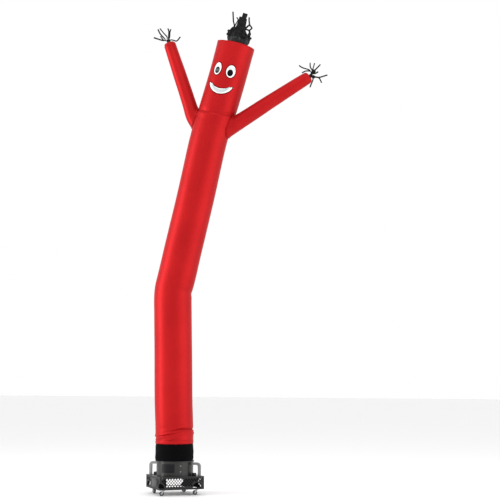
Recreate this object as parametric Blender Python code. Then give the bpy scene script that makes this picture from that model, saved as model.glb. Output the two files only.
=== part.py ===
"""Inflatable air dancer standing on its wheeled blower, in metres, +Z up, front toward -Y.

The dancer is a line of open cloth tubes, 2 mm thick, and every sewn piece is its own object:
sleeve, body, head, crown, two arms, the cut-strip hair and hand streamers, and the face patches.
Its tubes bend in one upright plane, given below as x and z, and that plane is turned a little
about the blower's axis. The blower is a sheet-metal base on four swivel casters, with a round
drum, an outlet collar that the sleeve is pulled over, and two handles.
"""

import math
from collections import namedtuple

import bmesh
import bpy
from mathutils import Matrix, Vector

GAP = 0.0003  # left between pieces that touch
INSET = 0.001  # how far one shape reaches into another that it is joined to
CLOTH = 0.002  # thickness of every cloth wall

# ---- The dancer: its tubes' centrelines, with the outer radius and the rings up to the next row
DANCER_TURN = math.radians(10.0)
TUBE_SIDES = 28
ARM_SIDES = 16
ARM_ROOT_RINGS = 4  # how many of an arm's rings the hole in the body follows
STEEPEST = 0.35  # least share of the cloth's thickness that a steep end keeps across the tube
Ring = namedtuple("Ring", "x z radius rings")

JOIN_Z = 0.642  # where the red body is sewn to the black sleeve
NECK = Vector((0.519, 0.0, 4.753))
HEAD_TOP = Vector((0.773, 0.0, 5.617))
HEAD_LENGTH = (HEAD_TOP - NECK).length
HEAD_AXIS = (HEAD_TOP - NECK).normalized()
HEAD_LEAN = math.atan2(HEAD_AXIS.x, HEAD_AXIS.z)

SLEEVE_RINGS = (
    Ring(x=-0.005, z=0.4096, radius=0.2270, rings=1),
    Ring(x=-0.006, z=0.4320, radius=0.2335, rings=2),
    Ring(x=-0.007, z=0.5700, radius=0.2330, rings=1),
    Ring(x=-0.009, z=0.6250, radius=0.2315, rings=1),
    Ring(x=-0.010, z=JOIN_Z - GAP / 2, radius=0.2290, rings=0),
)
BODY_RINGS = (
    Ring(x=-0.010, z=JOIN_Z + GAP / 2, radius=0.2290, rings=1),
    Ring(x=-0.011, z=0.6550, radius=0.2315, rings=8),
    Ring(x=-0.016, z=0.8700, radius=0.2325, rings=1),
    Ring(x=-0.027, z=1.1600, radius=0.2325, rings=1),
    Ring(x=-0.034, z=1.6500, radius=0.2320, rings=1),
    Ring(x=-0.042, z=2.2000, radius=0.2320, rings=2),
    Ring(x=-0.045, z=2.4000, radius=0.2320, rings=2),
    Ring(x=-0.036, z=2.5250, radius=0.2305, rings=2),
    Ring(x=-0.003, z=2.6520, radius=0.2320, rings=1),
    Ring(x=0.028, z=2.7770, radius=0.2320, rings=1),
    Ring(x=0.086, z=3.0280, radius=0.2320, rings=1),
    Ring(x=0.240, z=3.6570, radius=0.2325, rings=1),
    Ring(x=0.382, z=4.2890, radius=0.2330, rings=2),
    Ring(x=0.455, z=4.5600, radius=0.2350, rings=1),
)
# The shoulder ends the body: rings this far below the neck along the head's axis
ShoulderRing = namedtuple("ShoulderRing", "below radius")
SHOULDER_RINGS = (
    ShoulderRing(below=0.090, radius=0.2375),
    ShoulderRing(below=0.020, radius=0.2385),
    ShoulderRing(below=0.005, radius=0.2360),
    ShoulderRing(below=GAP, radius=0.2285),
)
# Rings of the head along its own axis, from the neck: straight as far as the face reaches
HEAD_RADIUS = 0.2295
HEAD_RINGS = (
    Ring(x=0.0, z=GAP, radius=0.2280, rings=1),
    Ring(x=0.0, z=0.012, radius=HEAD_RADIUS, rings=1),
    Ring(x=0.0, z=0.200, radius=HEAD_RADIUS, rings=2),
    Ring(x=0.0, z=0.600, radius=HEAD_RADIUS, rings=1),
    Ring(x=0.0, z=0.780, radius=0.2335, rings=1),
    Ring(x=0.0, z=0.880, radius=0.2385, rings=1),
    Ring(x=0.0, z=HEAD_LENGTH, radius=0.2395, rings=0),
)
CROWN_RADIUS = 0.2400
CROWN_RISE = 0.014
CROWN_SHARES = (0.0, 0.50, 0.85, 1.0)

ARM_RIGHT_RINGS = (
    Ring(x=0.500, z=4.450, radius=0.0960, rings=1),
    Ring(x=0.616, z=4.519, radius=0.0955, rings=2),
    Ring(x=0.809, z=4.630, radius=0.0900, rings=3),
    Ring(x=1.250, z=4.893, radius=0.0820, rings=2),
    Ring(x=1.642, z=5.122, radius=0.0735, rings=1),
    Ring(x=1.690, z=5.147, radius=0.0690, rings=1),
    Ring(x=1.718, z=5.161, radius=0.0560, rings=1),
    Ring(x=1.732, z=5.167, radius=0.0380, rings=1),
    Ring(x=1.736, z=5.169, radius=0.0230, rings=0),
)
ARM_LEFT_RINGS = (
    Ring(x=0.300, z=4.450, radius=0.0860, rings=1),
    Ring(x=0.222, z=4.690, radius=0.0855, rings=2),
    Ring(x=0.157, z=4.890, radius=0.0835, rings=2),
    Ring(x=0.037, z=5.254, radius=0.0800, rings=2),
    Ring(x=-0.078, z=5.605, radius=0.0740, rings=1),
    Ring(x=-0.093, z=5.655, radius=0.0690, rings=1),
    Ring(x=-0.102, z=5.683, radius=0.0560, rings=1),
    Ring(x=-0.106, z=5.697, radius=0.0380, rings=1),
    Ring(x=-0.107, z=5.702, radius=0.0230, rings=0),
)

# Folds pressed into a wall: the side they centre on (0 is +x, -90 the front), the height there,
# how far they rise per radian round the tube, their spread each way, and their depth
Fold = namedtuple("Fold", "side z climb wide tall depth")
BODY_FOLDS = (
    Fold(side=-125.0, z=0.722, climb=0.045, wide=0.95, tall=0.016, depth=0.011),
    Fold(side=-45.0, z=0.800, climb=0.020, wide=0.70, tall=0.015, depth=0.010),
    Fold(side=-95.0, z=0.690, climb=0.010, wide=0.50, tall=0.012, depth=0.006),
    Fold(side=15.0, z=0.775, climb=-0.010, wide=0.40, tall=0.020, depth=-0.006),
    Fold(side=100.0, z=0.760, climb=-0.035, wide=0.90, tall=0.018, depth=0.009),
    Fold(side=0.0, z=2.500, climb=0.000, wide=0.75, tall=0.040, depth=0.008),
)
SLEEVE_FOLDS = (
    Fold(side=-155.0, z=0.450, climb=0.000, wide=0.60, tall=0.030, depth=-0.004),
    Fold(side=-60.0, z=0.600, climb=0.030, wide=0.80, tall=0.014, depth=0.003),
    Fold(side=60.0, z=0.560, climb=-0.040, wide=0.70, tall=0.018, depth=0.003),
)

# ---- The face: patches on the head's front, by the angle round it and the height from the neck
PATCH = 0.001
PATCH_CLEAR = 0.0005
BLUNT = 0.985  # a patch ends in a short straight edge, this far from its middle
FACE_TURN = math.radians(3.4)
EYE_APART = math.radians(21.5)
EYE_Z = 0.508
EYE_HALF_ANGLE = math.radians(17.1)
EYE_HALF_HEIGHT = 0.084
PUPIL_Z = 0.491
PUPIL_HALF_ANGLE = math.radians(9.0)
PUPIL_HALF_HEIGHT = 0.045
SMILE_HALF_ANGLE = math.radians(39.0)
SMILE_LOW_Z = 0.198
SMILE_LOW_RISE = 0.092
SMILE_HIGH_Z = 0.281
SMILE_HIGH_RISE = 0.062

# ---- Cut-strip trims: a cuff of cloth whose upper edge is cut into strips
# slot is the strip's place on the cuff's edge, tip where it ends, bow how far its middle is pushed
Strip = namedtuple("Strip", "slot slots width tip bow")
Cuff = namedtuple("Cuff", "radius flare height sides ripples ripple")
HAIR_X = 0.009  # the cuff's middle, from the middle of the crown
HAIR_CUFF = Cuff(radius=0.119, flare=0.008, height=0.140, sides=28, ripples=8, ripple=0.009)
HAIR_STRIPS = (
    Strip(slot=20, slots=3, width=0.062, tip=(0.006, -0.030, 0.400), bow=(0.012, -0.045, 0.0)),
    Strip(slot=16, slots=3, width=0.044, tip=(-0.034, -0.052, 0.352), bow=(0.020, -0.050, 0.0)),
    Strip(slot=24, slots=1, width=0.024, tip=(0.044, -0.060, 0.300), bow=(0.020, -0.020, 0.0)),
    Strip(slot=14, slots=1, width=0.014, tip=(-0.152, -0.010, 0.378), bow=(0.020, 0.0, 0.0)),
    Strip(slot=12, slots=1, width=0.013, tip=(-0.098, 0.040, 0.332), bow=(0.020, 0.030, 0.0)),
    Strip(slot=26, slots=1, width=0.018, tip=(0.062, -0.020, 0.385), bow=(0.075, 0.0, 0.0)),
    Strip(slot=0, slots=1, width=0.022, tip=(0.106, 0.020, 0.330), bow=(0.075, 0.010, 0.0)),
    Strip(slot=2, slots=1, width=0.030, tip=(0.150, 0.080, 0.205), bow=(0.040, 0.030, 0.060)),
    Strip(slot=4, slots=2, width=0.050, tip=(0.045, 0.060, 0.340), bow=(0.020, 0.050, 0.0)),
    Strip(slot=7, slots=3, width=0.060, tip=(-0.030, 0.060, 0.315), bow=(0.0, 0.060, 0.0)),
    Strip(slot=11, slots=1, width=0.024, tip=(-0.135, 0.100, 0.225), bow=(-0.020, 0.040, 0.0)),
)
HAND_SEAT = 0.018  # how far the cuff is tucked into the arm's end
HAND_CUFF = Cuff(radius=0.0204, flare=0.002, height=0.052, sides=20, ripples=5, ripple=0.0006)
# These tips are measured from the cuff's root, in the dancer's upright plane
HAND_RIGHT_STRIPS = (
    Strip(slot=18, slots=1, width=0.013, tip=(0.205, -0.020, 0.000), bow=(0.0, 0.0, 0.012)),
    Strip(slot=1, slots=1, width=0.012, tip=(0.135, 0.055, -0.080), bow=(0.030, 0.020, 0.020)),
    Strip(slot=16, slots=1, width=0.012, tip=(0.000, -0.085, -0.140), bow=(0.060, -0.020, 0.000)),
    Strip(slot=14, slots=1, width=0.012, tip=(0.100, -0.080, 0.035), bow=(0.010, 0.0, 0.0)),
    Strip(slot=12, slots=1, width=0.013, tip=(0.118, -0.030, 0.135), bow=(0.010, 0.0, -0.010)),
    Strip(slot=10, slots=1, width=0.012, tip=(-0.010, -0.030, 0.160), bow=(0.045, 0.0, 0.0)),
    Strip(slot=8, slots=1, width=0.012, tip=(-0.148, -0.010, 0.125), bow=(0.040, 0.0, 0.030)),
    Strip(slot=6, slots=1, width=0.012, tip=(0.040, 0.025, 0.156), bow=(0.010, 0.010, 0.0)),
    Strip(slot=3, slots=1, width=0.012, tip=(0.125, 0.090, 0.050), bow=(0.020, 0.010, 0.0)),
)
HAND_LEFT_STRIPS = (
    Strip(slot=12, slots=1, width=0.012, tip=(-0.190, -0.010, 0.060), bow=(0.010, 0.0, 0.035)),
    Strip(slot=10, slots=1, width=0.013, tip=(-0.146, 0.030, 0.170), bow=(-0.010, 0.010, 0.0)),
    Strip(slot=14, slots=1, width=0.013, tip=(-0.116, -0.040, 0.178), bow=(0.0, 0.0, 0.0)),
    Strip(slot=16, slots=1, width=0.012, tip=(-0.012, -0.045, 0.186), bow=(0.010, 0.0, 0.0)),
    Strip(slot=5, slots=1, width=0.012, tip=(0.018, 0.030, 0.186), bow=(-0.010, 0.0, 0.0)),
    Strip(slot=18, slots=1, width=0.012, tip=(0.060, -0.070, 0.075), bow=(0.0, -0.010, 0.030)),
    Strip(slot=2, slots=1, width=0.012, tip=(0.134, 0.020, 0.086), bow=(0.0, 0.0, 0.040)),
    Strip(slot=7, slots=1, width=0.012, tip=(-0.060, 0.090, 0.150), bow=(-0.010, 0.010, 0.0)),
)
STRIP_STEPS = 5

# ---- The blower
BASE_SIDE = 0.565
BASE_LOW = 0.0725
DECK_TOP = 0.229
SHEET = 0.003
HALF_DIAGONAL = BASE_SIDE / math.sqrt(2)
DECK_HOLE_RADIUS = 0.200
RIM = 0.022  # solid edge strip along the panels' top and bottom
ARCH_WIDTH = 0.105
ARCH_HEIGHT = 0.060
CORNER_ARCH_HALF = 0.058
ARCH_PLACE = 0.090  # centre of the full arch, from the panel's outer end
WINDOW = (0.216, 0.414)  # from one end to the other along a windowed panel
BAFFLE = 0.002
BAFFLE_LAP = 0.022
BAFFLE_RADIUS = 0.200
BAFFLE_END = -20.0  # where its curve ends, in degrees; it starts at -90
GUSSET_LEG = 0.185

DRUM_RADIUS = 0.226
DRUM_TOP = 0.406
DRUM_WALL = 0.003
BEAD = 0.005  # the bead at the drum's foot stands out and up by this
EDGE_STEP = 0.002
FLANGE_RADIUS = 0.236
FLANGE_HEIGHT = 0.011
COLLAR_RADIUS = 0.214
COLLAR_FOOT_RADIUS = 0.232  # its foot rests on the drum, and the sleeve's lower edge rests on it
COLLAR_RING_RADIUS = 0.222
COLLAR_RING_HEIGHT = 0.018
COLLAR_TOP = 0.511
ROUND_SIDES = 36

HANDLE = 0.030
HANDLE_X = 0.335
HANDLE_Z = 0.375
HANDLE_BEND = 0.032
BLOCK_SIZE = (0.040, 0.060, 0.034)
BLOCK_X = 0.262
BLOCK_EDGE = 0.005
LABEL_WIDTH = 0.173
LABEL_LOW = 0.270
LABEL_HIGH = 0.375
LABEL_TURN = math.radians(-86.0)

CASTER_PLACE = 0.300  # from the blower's axis to each swivel
CASTER_TRAIL = 0.022
WHEEL_RADIUS = 0.028
WHEEL_WIDTH = 0.022
WHEEL_SIDES = 24
PIN_RADIUS = 0.003
BORE_RADIUS = 0.0036
CUP_LOW = 0.0645
CUP_RADIUS = 0.018
STEM_RADIUS = 0.006
NUT_RADIUS = 0.0105
NUT_HEIGHT = 0.009
FORK_SIDE_CLEAR = 0.0015  # between the wheel and each leg
FORK_LEG = 0.002
FORK_BRIDGE = 0.003
FORK_REACH = (-0.012, 0.014)  # the bridge, behind and ahead of the swivel
FORK_NARROW = 0.93  # the legs' tops, as a share of the bridge's length
FORK_DISC_RADIUS = 0.017
FORK_FOOT_RADIUS = 0.008
# corner is where round the base, trail the way that the wheel points from its swivel
Caster = namedtuple("Caster", "name corner trail")
CASTERS = (
    Caster(name="front", corner=-90.0, trail=205.0),
    Caster(name="right", corner=0.0, trail=215.0),
    Caster(name="back", corner=90.0, trail=200.0),
    Caster(name="left", corner=180.0, trail=330.0),
)
# Each panel starts at a corner and runs counterclockwise, seen from above
Panel = namedtuple("Panel", "name turn windowed")
PANELS = (
    Panel(name="panel_front_left", turn=-45.0, windowed=True),
    Panel(name="panel_front_right", turn=45.0, windowed=False),
    Panel(name="panel_back_right", turn=135.0, windowed=True),
    Panel(name="panel_back_left", turn=225.0, windowed=False),
)

Finish = namedtuple("Finish", "colour roughness metallic")
FINISHES = {
    "red_nylon": Finish((0.72, 0.018, 0.022), 0.45, 0.0),
    "black_nylon": Finish((0.012, 0.012, 0.014), 0.60, 0.0),
    "white_patch": Finish((0.86, 0.86, 0.88), 0.50, 0.0),
    "dark_patch": Finish((0.018, 0.020, 0.022), 0.45, 0.0),
    "gunmetal": Finish((0.065, 0.065, 0.062), 0.42, 0.6),
    "black_metal": Finish((0.015, 0.015, 0.016), 0.50, 0.3),
    "label_film": Finish((0.010, 0.010, 0.016), 0.30, 0.0),
    "zinc": Finish((0.62, 0.64, 0.65), 0.30, 1.0),
    "wheel_black": Finish((0.020, 0.020, 0.021), 0.55, 0.0),
}


# ---- Making objects


def clear_scene():
    for obj in list(bpy.data.objects):
        bpy.data.objects.remove(obj, do_unlink=True)


def material_of(name, finish_name):
    finish = FINISHES[finish_name]
    material = bpy.data.materials.new(f"{name}_{finish_name}")
    material.use_nodes = True
    shader = material.node_tree.nodes["Principled BSDF"]
    shader.inputs["Base Color"].default_value = (*finish.colour, 1.0)
    shader.inputs["Roughness"].default_value = finish.roughness
    shader.inputs["Metallic"].default_value = finish.metallic
    return material


def empty(name, parent=None, location=(0.0, 0.0, 0.0), rotation=(0.0, 0.0, 0.0)):
    obj = bpy.data.objects.new(name, None)
    bpy.context.scene.collection.objects.link(obj)
    obj.parent = parent
    obj.location = location
    obj.rotation_euler = rotation
    return obj


def solid(name, bm, finish, parent, location=(0.0, 0.0, 0.0), turn=0.0, sharp=35.0):
    """The bmesh as an object with its own material, its faces turned outward."""
    bmesh.ops.recalc_face_normals(bm, faces=bm.faces)
    mesh = bpy.data.meshes.new(name)
    bm.to_mesh(mesh)
    bm.free()
    mesh.shade_smooth()
    mesh.set_sharp_from_angle(angle=math.radians(sharp))
    obj = bpy.data.objects.new(name, mesh)
    bpy.context.scene.collection.objects.link(obj)
    obj.parent = parent
    obj.location = location
    obj.rotation_euler = (0.0, 0.0, turn)
    if finish:
        mesh.materials.append(material_of(name, finish))
    return obj


def helper(name, bm, parent, location=(0.0, 0.0, 0.0), turn=0.0):
    """A shape that only cuts or joins another: it is not a piece of the object."""
    obj = solid(name, bm, None, parent, location, turn)
    obj.hide_render = True
    obj.display_type = "WIRE"
    return obj


def boolean(obj, operation, others):
    for other in others:
        modifier = obj.modifiers.new(f"{operation.lower()}_{other.name}", "BOOLEAN")
        modifier.operation = operation
        modifier.solver = "EXACT"
        modifier.object = other


# ---- Shapes


def box(low, high):
    """A box between two opposite corners."""
    bm = bmesh.new()
    bmesh.ops.create_cube(bm, size=1.0)
    for vertex in bm.verts:
        for axis in range(3):
            vertex.co[axis] = low[axis] if vertex.co[axis] < 0 else high[axis]
    return bm


def prism(outline, place, depth):
    """An outline of 2-D points, put in space by place(u, v, w), from w = 0 to depth."""
    bm = bmesh.new()
    ends = [[bm.verts.new(place(u, v, w)) for u, v in outline] for w in (0.0, depth)]
    bm.faces.new(ends[0])
    bm.faces.new(reversed(ends[1]))
    count = len(outline)
    for i in range(count):
        j = (i + 1) % count
        bm.faces.new((ends[0][i], ends[0][j], ends[1][j], ends[1][i]))
    return bm


def lathe(profile, sides, axis="Z", closed_core=False, half_step=False):
    """A profile of (radius, height) pairs turned about an axis, its flats at the given radii.

    With closed_core the profile starts and ends on the axis; otherwise it closes on itself.
    """
    bm = bmesh.new()
    grow = 1.0 / math.cos(math.pi / sides)
    start = 0.5 if half_step else 0.0
    columns = []
    ends = [None, None]
    if closed_core:
        ends = [bm.verts.new(on_axis(axis, 0.0, 0.0, profile[i][1])) for i in (0, -1)]
    for k in range(sides):
        angle = 2 * math.pi * (k + start) / sides
        column = []
        for i, (radius, height) in enumerate(profile):
            if closed_core and i in (0, len(profile) - 1):
                column.append(ends[0] if i == 0 else ends[1])
                continue
            x = radius * grow * math.cos(angle)
            y = radius * grow * math.sin(angle)
            column.append(bm.verts.new(on_axis(axis, x, y, height)))
        columns.append(column)
    steps = len(profile) - 1 if closed_core else len(profile)
    for k, column in enumerate(columns):
        following = columns[(k + 1) % sides]
        for i in range(steps):
            j = (i + 1) % len(profile)
            corners = (column[i], following[i], following[j], column[j])
            bm.faces.new(tuple(dict.fromkeys(corners)))
    return bm


def cylinder(radius, low, high, sides, axis="Z"):
    profile = [(0.0, low), (radius, low), (radius, high), (0.0, high)]
    return lathe(profile, sides, axis, closed_core=True)


def on_axis(axis, x, y, height):
    return (x, y, height) if axis == "Z" else (y, height, x)


def arc(centre, radius, start, stop, steps):
    """Points of a circle's arc, its angles in degrees."""
    points = []
    for i in range(steps + 1):
        angle = math.radians(start + (stop - start) * i / steps)
        points.append((centre[0] + radius * math.cos(angle), centre[1] + radius * math.sin(angle)))
    return points


# ---- Cloth tubes


def smooth_rings(rows):
    """(centre, radius) of every ring: a Catmull-Rom curve through the rows of a table."""
    points = [Vector((row.x, row.z, row.radius)) for row in rows]
    padded = [2 * points[0] - points[1], *points, 2 * points[-1] - points[-2]]
    rings = []
    for i, row in enumerate(rows[:-1]):
        a, b, c, d = padded[i : i + 4]
        for k in range(row.rings):
            t = k / row.rings
            rings.append(
                0.5 * (2 * b + (c - a) * t + (2 * a - 5 * b + 4 * c - d) * t * t)
                + 0.5 * (3 * b - a - 3 * c + d) * t**3
            )
    rings.append(points[-1])
    return [(Vector((p[0], 0.0, p[1])), p[2]) for p in rings]


def wrap(angle):
    return (angle + math.pi) % (2 * math.pi) - math.pi


def pressed(folds, angle, z):
    """How far the folds push the wall in at this angle and height."""
    inward = 0.0
    for fold in folds:
        away = wrap(angle - math.radians(fold.side))
        rise = (z - fold.z - fold.climb * away) / fold.tall
        inward += fold.depth * math.exp(-rise * rise - (away / fold.wide) ** 2)
    return inward


def tangents(rings, first, last):
    found = []
    for i in range(len(rings)):
        before = rings[max(i - 1, 0)][0]
        after = rings[min(i + 1, len(rings) - 1)][0]
        found.append((after - before).normalized())
    if first:
        found[0] = first
    if last:
        found[-1] = last
    return found


def tube_wall(rings, sides, inward, folds=(), first=None, last=None):
    """Rings of points of a tube's wall, moved inward by a distance along the wall's own normal."""
    ways = tangents(rings, first, last)
    along = [0.0]
    for i in range(1, len(rings)):
        along.append(along[-1] + (rings[i][0] - rings[i - 1][0]).length)
    wall = []
    for i, (centre, radius) in enumerate(rings):
        lower = max(i - 1, 0)
        upper = min(i + 1, len(rings) - 1)
        slope = Vector((along[upper] - along[lower], rings[upper][1] - rings[lower][1]))
        slope.normalize()
        way = ways[i]
        side = Vector((way.z, 0.0, -way.x))
        middle = centre
        # A rim keeps its place along the tube, so that neighbouring pieces keep their gap
        if 0 < i < len(rings) - 1:
            middle = centre + way * (slope.y * inward)
        shrunk = radius - inward * max(slope.x, STEEPEST)
        ring = []
        for k in range(sides):
            angle = 2 * math.pi * k / sides
            reach = shrunk - pressed(folds, angle, centre.z)
            across = Vector((0.0, reach * math.sin(angle), 0.0))
            ring.append(middle + side * (reach * math.cos(angle)) + across)
        wall.append(ring)
    return wall


def skin(bm, wall):
    """The quads between a wall's rings, and its rows of vertices."""
    rows = [[bm.verts.new(point) for point in ring] for ring in wall]
    sides = len(wall[0])
    for low, high in zip(rows, rows[1:]):
        for k in range(sides):
            j = (k + 1) % sides
            bm.faces.new((low[k], low[j], high[j], high[k]))
    return rows


def cloth_tube(rings, sides, folds=(), first=None, last=None):
    """An open tube of cloth: an outer and an inner wall, joined by a rim at each end."""
    bm = bmesh.new()
    outer = skin(bm, tube_wall(rings, sides, 0.0, folds, first, last))
    inner = skin(bm, tube_wall(rings, sides, CLOTH, folds, first, last))
    for end in (0, -1):
        for k in range(sides):
            j = (k + 1) % sides
            bm.faces.new((outer[end][k], outer[end][j], inner[end][j], inner[end][k]))
    return bm


def filled_tube(rings, sides, inward, folds=(), first=None, last=None):
    """A tube's wall as a capped solid, to cut others with."""
    bm = bmesh.new()
    rows = skin(bm, tube_wall(rings, sides, inward, folds, first, last))
    bm.faces.new(rows[0])
    bm.faces.new(rows[-1])
    return bm


def body_rings():
    rows = list(BODY_RINGS)
    for row in SHOULDER_RINGS:
        place = NECK - HEAD_AXIS * row.below
        rows.append(Ring(x=place.x, z=place.z, radius=row.radius, rings=1))
    return smooth_rings(rows)


def make_tubes(dancer, head):
    upright = Vector((0.0, 0.0, 1.0))
    rings = smooth_rings(SLEEVE_RINGS)
    bm = cloth_tube(rings, TUBE_SIDES, SLEEVE_FOLDS, upright, upright)
    solid("bottom_sleeve", bm, "black_nylon", dancer)

    rings = body_rings()
    bm = cloth_tube(rings, TUBE_SIDES, BODY_FOLDS, upright, HEAD_AXIS)
    body = solid("body_tube", bm, "red_nylon", dancer)
    bm = filled_tube(rings, TUBE_SIDES, -GAP, BODY_FOLDS, upright, HEAD_AXIS)
    body_form = helper("body_form", bm, dancer)

    rings = smooth_rings(HEAD_RINGS)
    bm = cloth_tube(rings, TUBE_SIDES, (), upright, upright)
    solid("head_tube", bm, "red_nylon", head)
    bm = filled_tube(rings, TUBE_SIDES, -GAP, (), upright, upright)
    head_form = helper("head_form", bm, head)

    for name, rows in (("arm_right", ARM_RIGHT_RINGS), ("arm_left", ARM_LEFT_RINGS)):
        rings = smooth_rings(rows)
        arm = solid(name, cloth_tube(rings, ARM_SIDES), "red_nylon", dancer)
        boolean(arm, "DIFFERENCE", (body_form, head_form))
        bm = filled_tube(rings[:ARM_ROOT_RINGS], ARM_SIDES, CLOTH)
        boolean(body, "DIFFERENCE", (helper(f"{name}_bore", bm, dancer),))


def crown_rise(share):
    return CROWN_RISE * (1.0 - share**3)


def make_crown(head):
    """The round panel that closes the head, raised a little by the air under it."""
    low = HEAD_LENGTH + GAP
    under = [(CROWN_RADIUS * share, low + crown_rise(share)) for share in CROWN_SHARES]
    profile = [(radius, z + CLOTH) for radius, z in under]
    bm = lathe(profile + under[::-1], TUBE_SIDES, closed_core=True)
    solid("crown_panel", bm, "red_nylon", head)


# ---- Face


def patch(name, columns, lift, finish, head):
    """A thin patch on the head's front. Each column has an angle, a low edge and a high edge."""

    def place(angle, z, out):
        reach = HEAD_RADIUS + out
        turned = FACE_TURN + angle
        return (reach * math.sin(turned), -reach * math.cos(turned), z)

    bm = bmesh.new()
    rows = []
    for angle, low, high in columns:
        corners = ((low, lift), (high, lift), (high, lift + PATCH), (low, lift + PATCH))
        rows.append([bm.verts.new(place(angle, z, out)) for z, out in corners])
    for before, after in zip(rows, rows[1:]):
        for i in range(4):
            j = (i + 1) % 4
            bm.faces.new((before[i], before[j], after[j], after[i]))
    bm.faces.new(rows[0])
    bm.faces.new(rows[-1])
    return solid(name, bm, finish, head, sharp=60.0)


def oval(middle, z, half_angle, half_height, columns):
    found = []
    for i in range(columns + 1):
        t = -BLUNT * math.cos(math.pi * i / columns)
        reach = half_height * math.sqrt(1.0 - t * t)
        found.append((middle + half_angle * t, z - reach, z + reach))
    return found


def smile(columns):
    found = []
    for i in range(columns + 1):
        t = -BLUNT * math.cos(math.pi * i / columns)
        low = SMILE_LOW_Z + SMILE_LOW_RISE * t * t
        high = SMILE_HIGH_Z + SMILE_HIGH_RISE * t * t
        rounding = math.sqrt(1.0 - t**6)
        middle = (low + high) / 2
        half = (high - low) / 2 * rounding
        found.append((SMILE_HALF_ANGLE * t, middle - half, middle + half))
    return found


def make_face(head):
    pupil_lift = PATCH_CLEAR + PATCH + GAP
    for name, angle in (("left", -EYE_APART), ("right", EYE_APART)):
        white = oval(angle, EYE_Z, EYE_HALF_ANGLE, EYE_HALF_HEIGHT, 14)
        patch(f"eye_{name}", white, PATCH_CLEAR, "white_patch", head)
        pupil = oval(angle, PUPIL_Z, PUPIL_HALF_ANGLE, PUPIL_HALF_HEIGHT, 10)
        patch(f"pupil_{name}", pupil, pupil_lift, "dark_patch", head)
    patch("smile", smile(20), PATCH_CLEAR, "white_patch", head)


# ---- Cut-strip trims


def cuff_points(cuff, height, inset):
    """Points round a rippled cuff at a height."""
    share = height / cuff.height
    points = []
    for k in range(cuff.sides):
        angle = 2 * math.pi * k / cuff.sides
        wave = math.sin(cuff.ripples * angle + 1.3 * math.sin(2 * angle))
        radius = cuff.radius + cuff.flare * share - inset + cuff.ripple * wave * (0.3 + share)
        points.append(Vector((radius * math.cos(angle), radius * math.sin(angle), height)))
    return points


def grow_strip(bm, outer, inner, row, turn_back):
    """Carries a stretch of the cuff's rim on as one strip, to its tip."""
    start = (outer[0].co + outer[-1].co + inner[0].co + inner[-1].co) / 4
    tip = turn_back @ Vector(row.tip)
    bow = turn_back @ Vector(row.bow)
    rise = Vector((0.0, 0.0, 0.25 * (tip - start).length))
    control = (start + rise + tip) / 2 + bow
    across = (outer[-1].co - outer[0].co).normalized()
    root_width = (outer[-1].co - outer[0].co).length
    previous = outer + inner[::-1]
    for step in range(1, STRIP_STEPS + 1):
        t = step / STRIP_STEPS
        centre = start * (1 - t) ** 2 + control * 2 * t * (1 - t) + tip * t * t
        way = ((control - start) * (1 - t) + (tip - control) * t).normalized()
        across = (across - way * across.dot(way)).normalized()
        normal = across.cross(way)
        width = root_width + (row.width - root_width) * min(1.0, 2 * t)
        places = [width * (i / row.slots - 0.5) for i in range(row.slots + 1)]
        front = [bm.verts.new(centre + across * u + normal * (CLOTH / 2)) for u in places]
        back = [bm.verts.new(centre + across * u - normal * (CLOTH / 2)) for u in places]
        section = front + back[::-1]
        for i in range(len(section)):
            j = (i + 1) % len(section)
            bm.faces.new((previous[i], previous[j], section[j], section[i]))
        previous = section
    bm.faces.new(previous)


def strip_trim(cuff, strips, turn_back):
    """A cuff with its upper edge cut into strips: one closed solid."""
    bm = bmesh.new()
    heights = (0.0, cuff.height * 0.5, cuff.height)
    outer = skin(bm, [cuff_points(cuff, height, 0.0) for height in heights])
    inner = skin(bm, [cuff_points(cuff, height, CLOTH) for height in heights])
    for k in range(cuff.sides):
        j = (k + 1) % cuff.sides
        bm.faces.new((outer[0][k], outer[0][j], inner[0][j], inner[0][k]))
    taken = set()
    for row in strips:
        stretch = [k % cuff.sides for k in range(row.slot, row.slot + row.slots + 1)]
        taken.update(stretch[:-1])
        rim = [[wall[-1][k] for k in stretch] for wall in (outer, inner)]
        grow_strip(bm, *rim, row, turn_back)
    for k in range(cuff.sides):
        if k not in taken:
            j = (k + 1) % cuff.sides
            bm.faces.new((outer[-1][k], outer[-1][j], inner[-1][j], inner[-1][k]))
    return bm


def make_trims(dancer, head):
    no_turn = Matrix.Identity(3)
    hair_z = HEAD_LENGTH + crown_rise(HAIR_CUFF.radius / CROWN_RADIUS) + CLOTH + 3 * GAP
    bm = strip_trim(HAIR_CUFF, HAIR_STRIPS, no_turn)
    hair = solid("hair", bm, "black_nylon", head, sharp=60.0)
    hair.location = (HAIR_X, 0.0, hair_z)
    hands = (
        ("hand_streamers_right", ARM_RIGHT_RINGS, HAND_RIGHT_STRIPS),
        ("hand_streamers_left", ARM_LEFT_RINGS, HAND_LEFT_STRIPS),
    )
    for name, arm, strips in hands:
        end = Vector((arm[-1].x, 0.0, arm[-1].z))
        way = (end - Vector((arm[-4].x, 0.0, arm[-4].z))).normalized()
        lean = math.atan2(way.x, way.z)
        turn_back = Matrix.Rotation(-lean, 3, "Y")
        bm = strip_trim(HAND_CUFF, strips, turn_back)
        obj = solid(name, bm, "black_nylon", dancer, sharp=60.0)
        obj.location = end - way * HAND_SEAT
        obj.rotation_euler = (0.0, lean, 0.0)


# ---- Blower


def make_deck(blower):
    half = BASE_SIDE / 2
    bm = box((-half, -half, DECK_TOP - SHEET), (half, half, DECK_TOP))
    deck = solid("base_deck", bm, "gunmetal", blower, turn=math.radians(45.0))
    bm = cylinder(DECK_HOLE_RADIUS, DECK_TOP - 2 * SHEET, DECK_TOP + SHEET, ROUND_SIDES)
    boolean(deck, "DIFFERENCE", (helper("deck_hole", bm, blower),))


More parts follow.
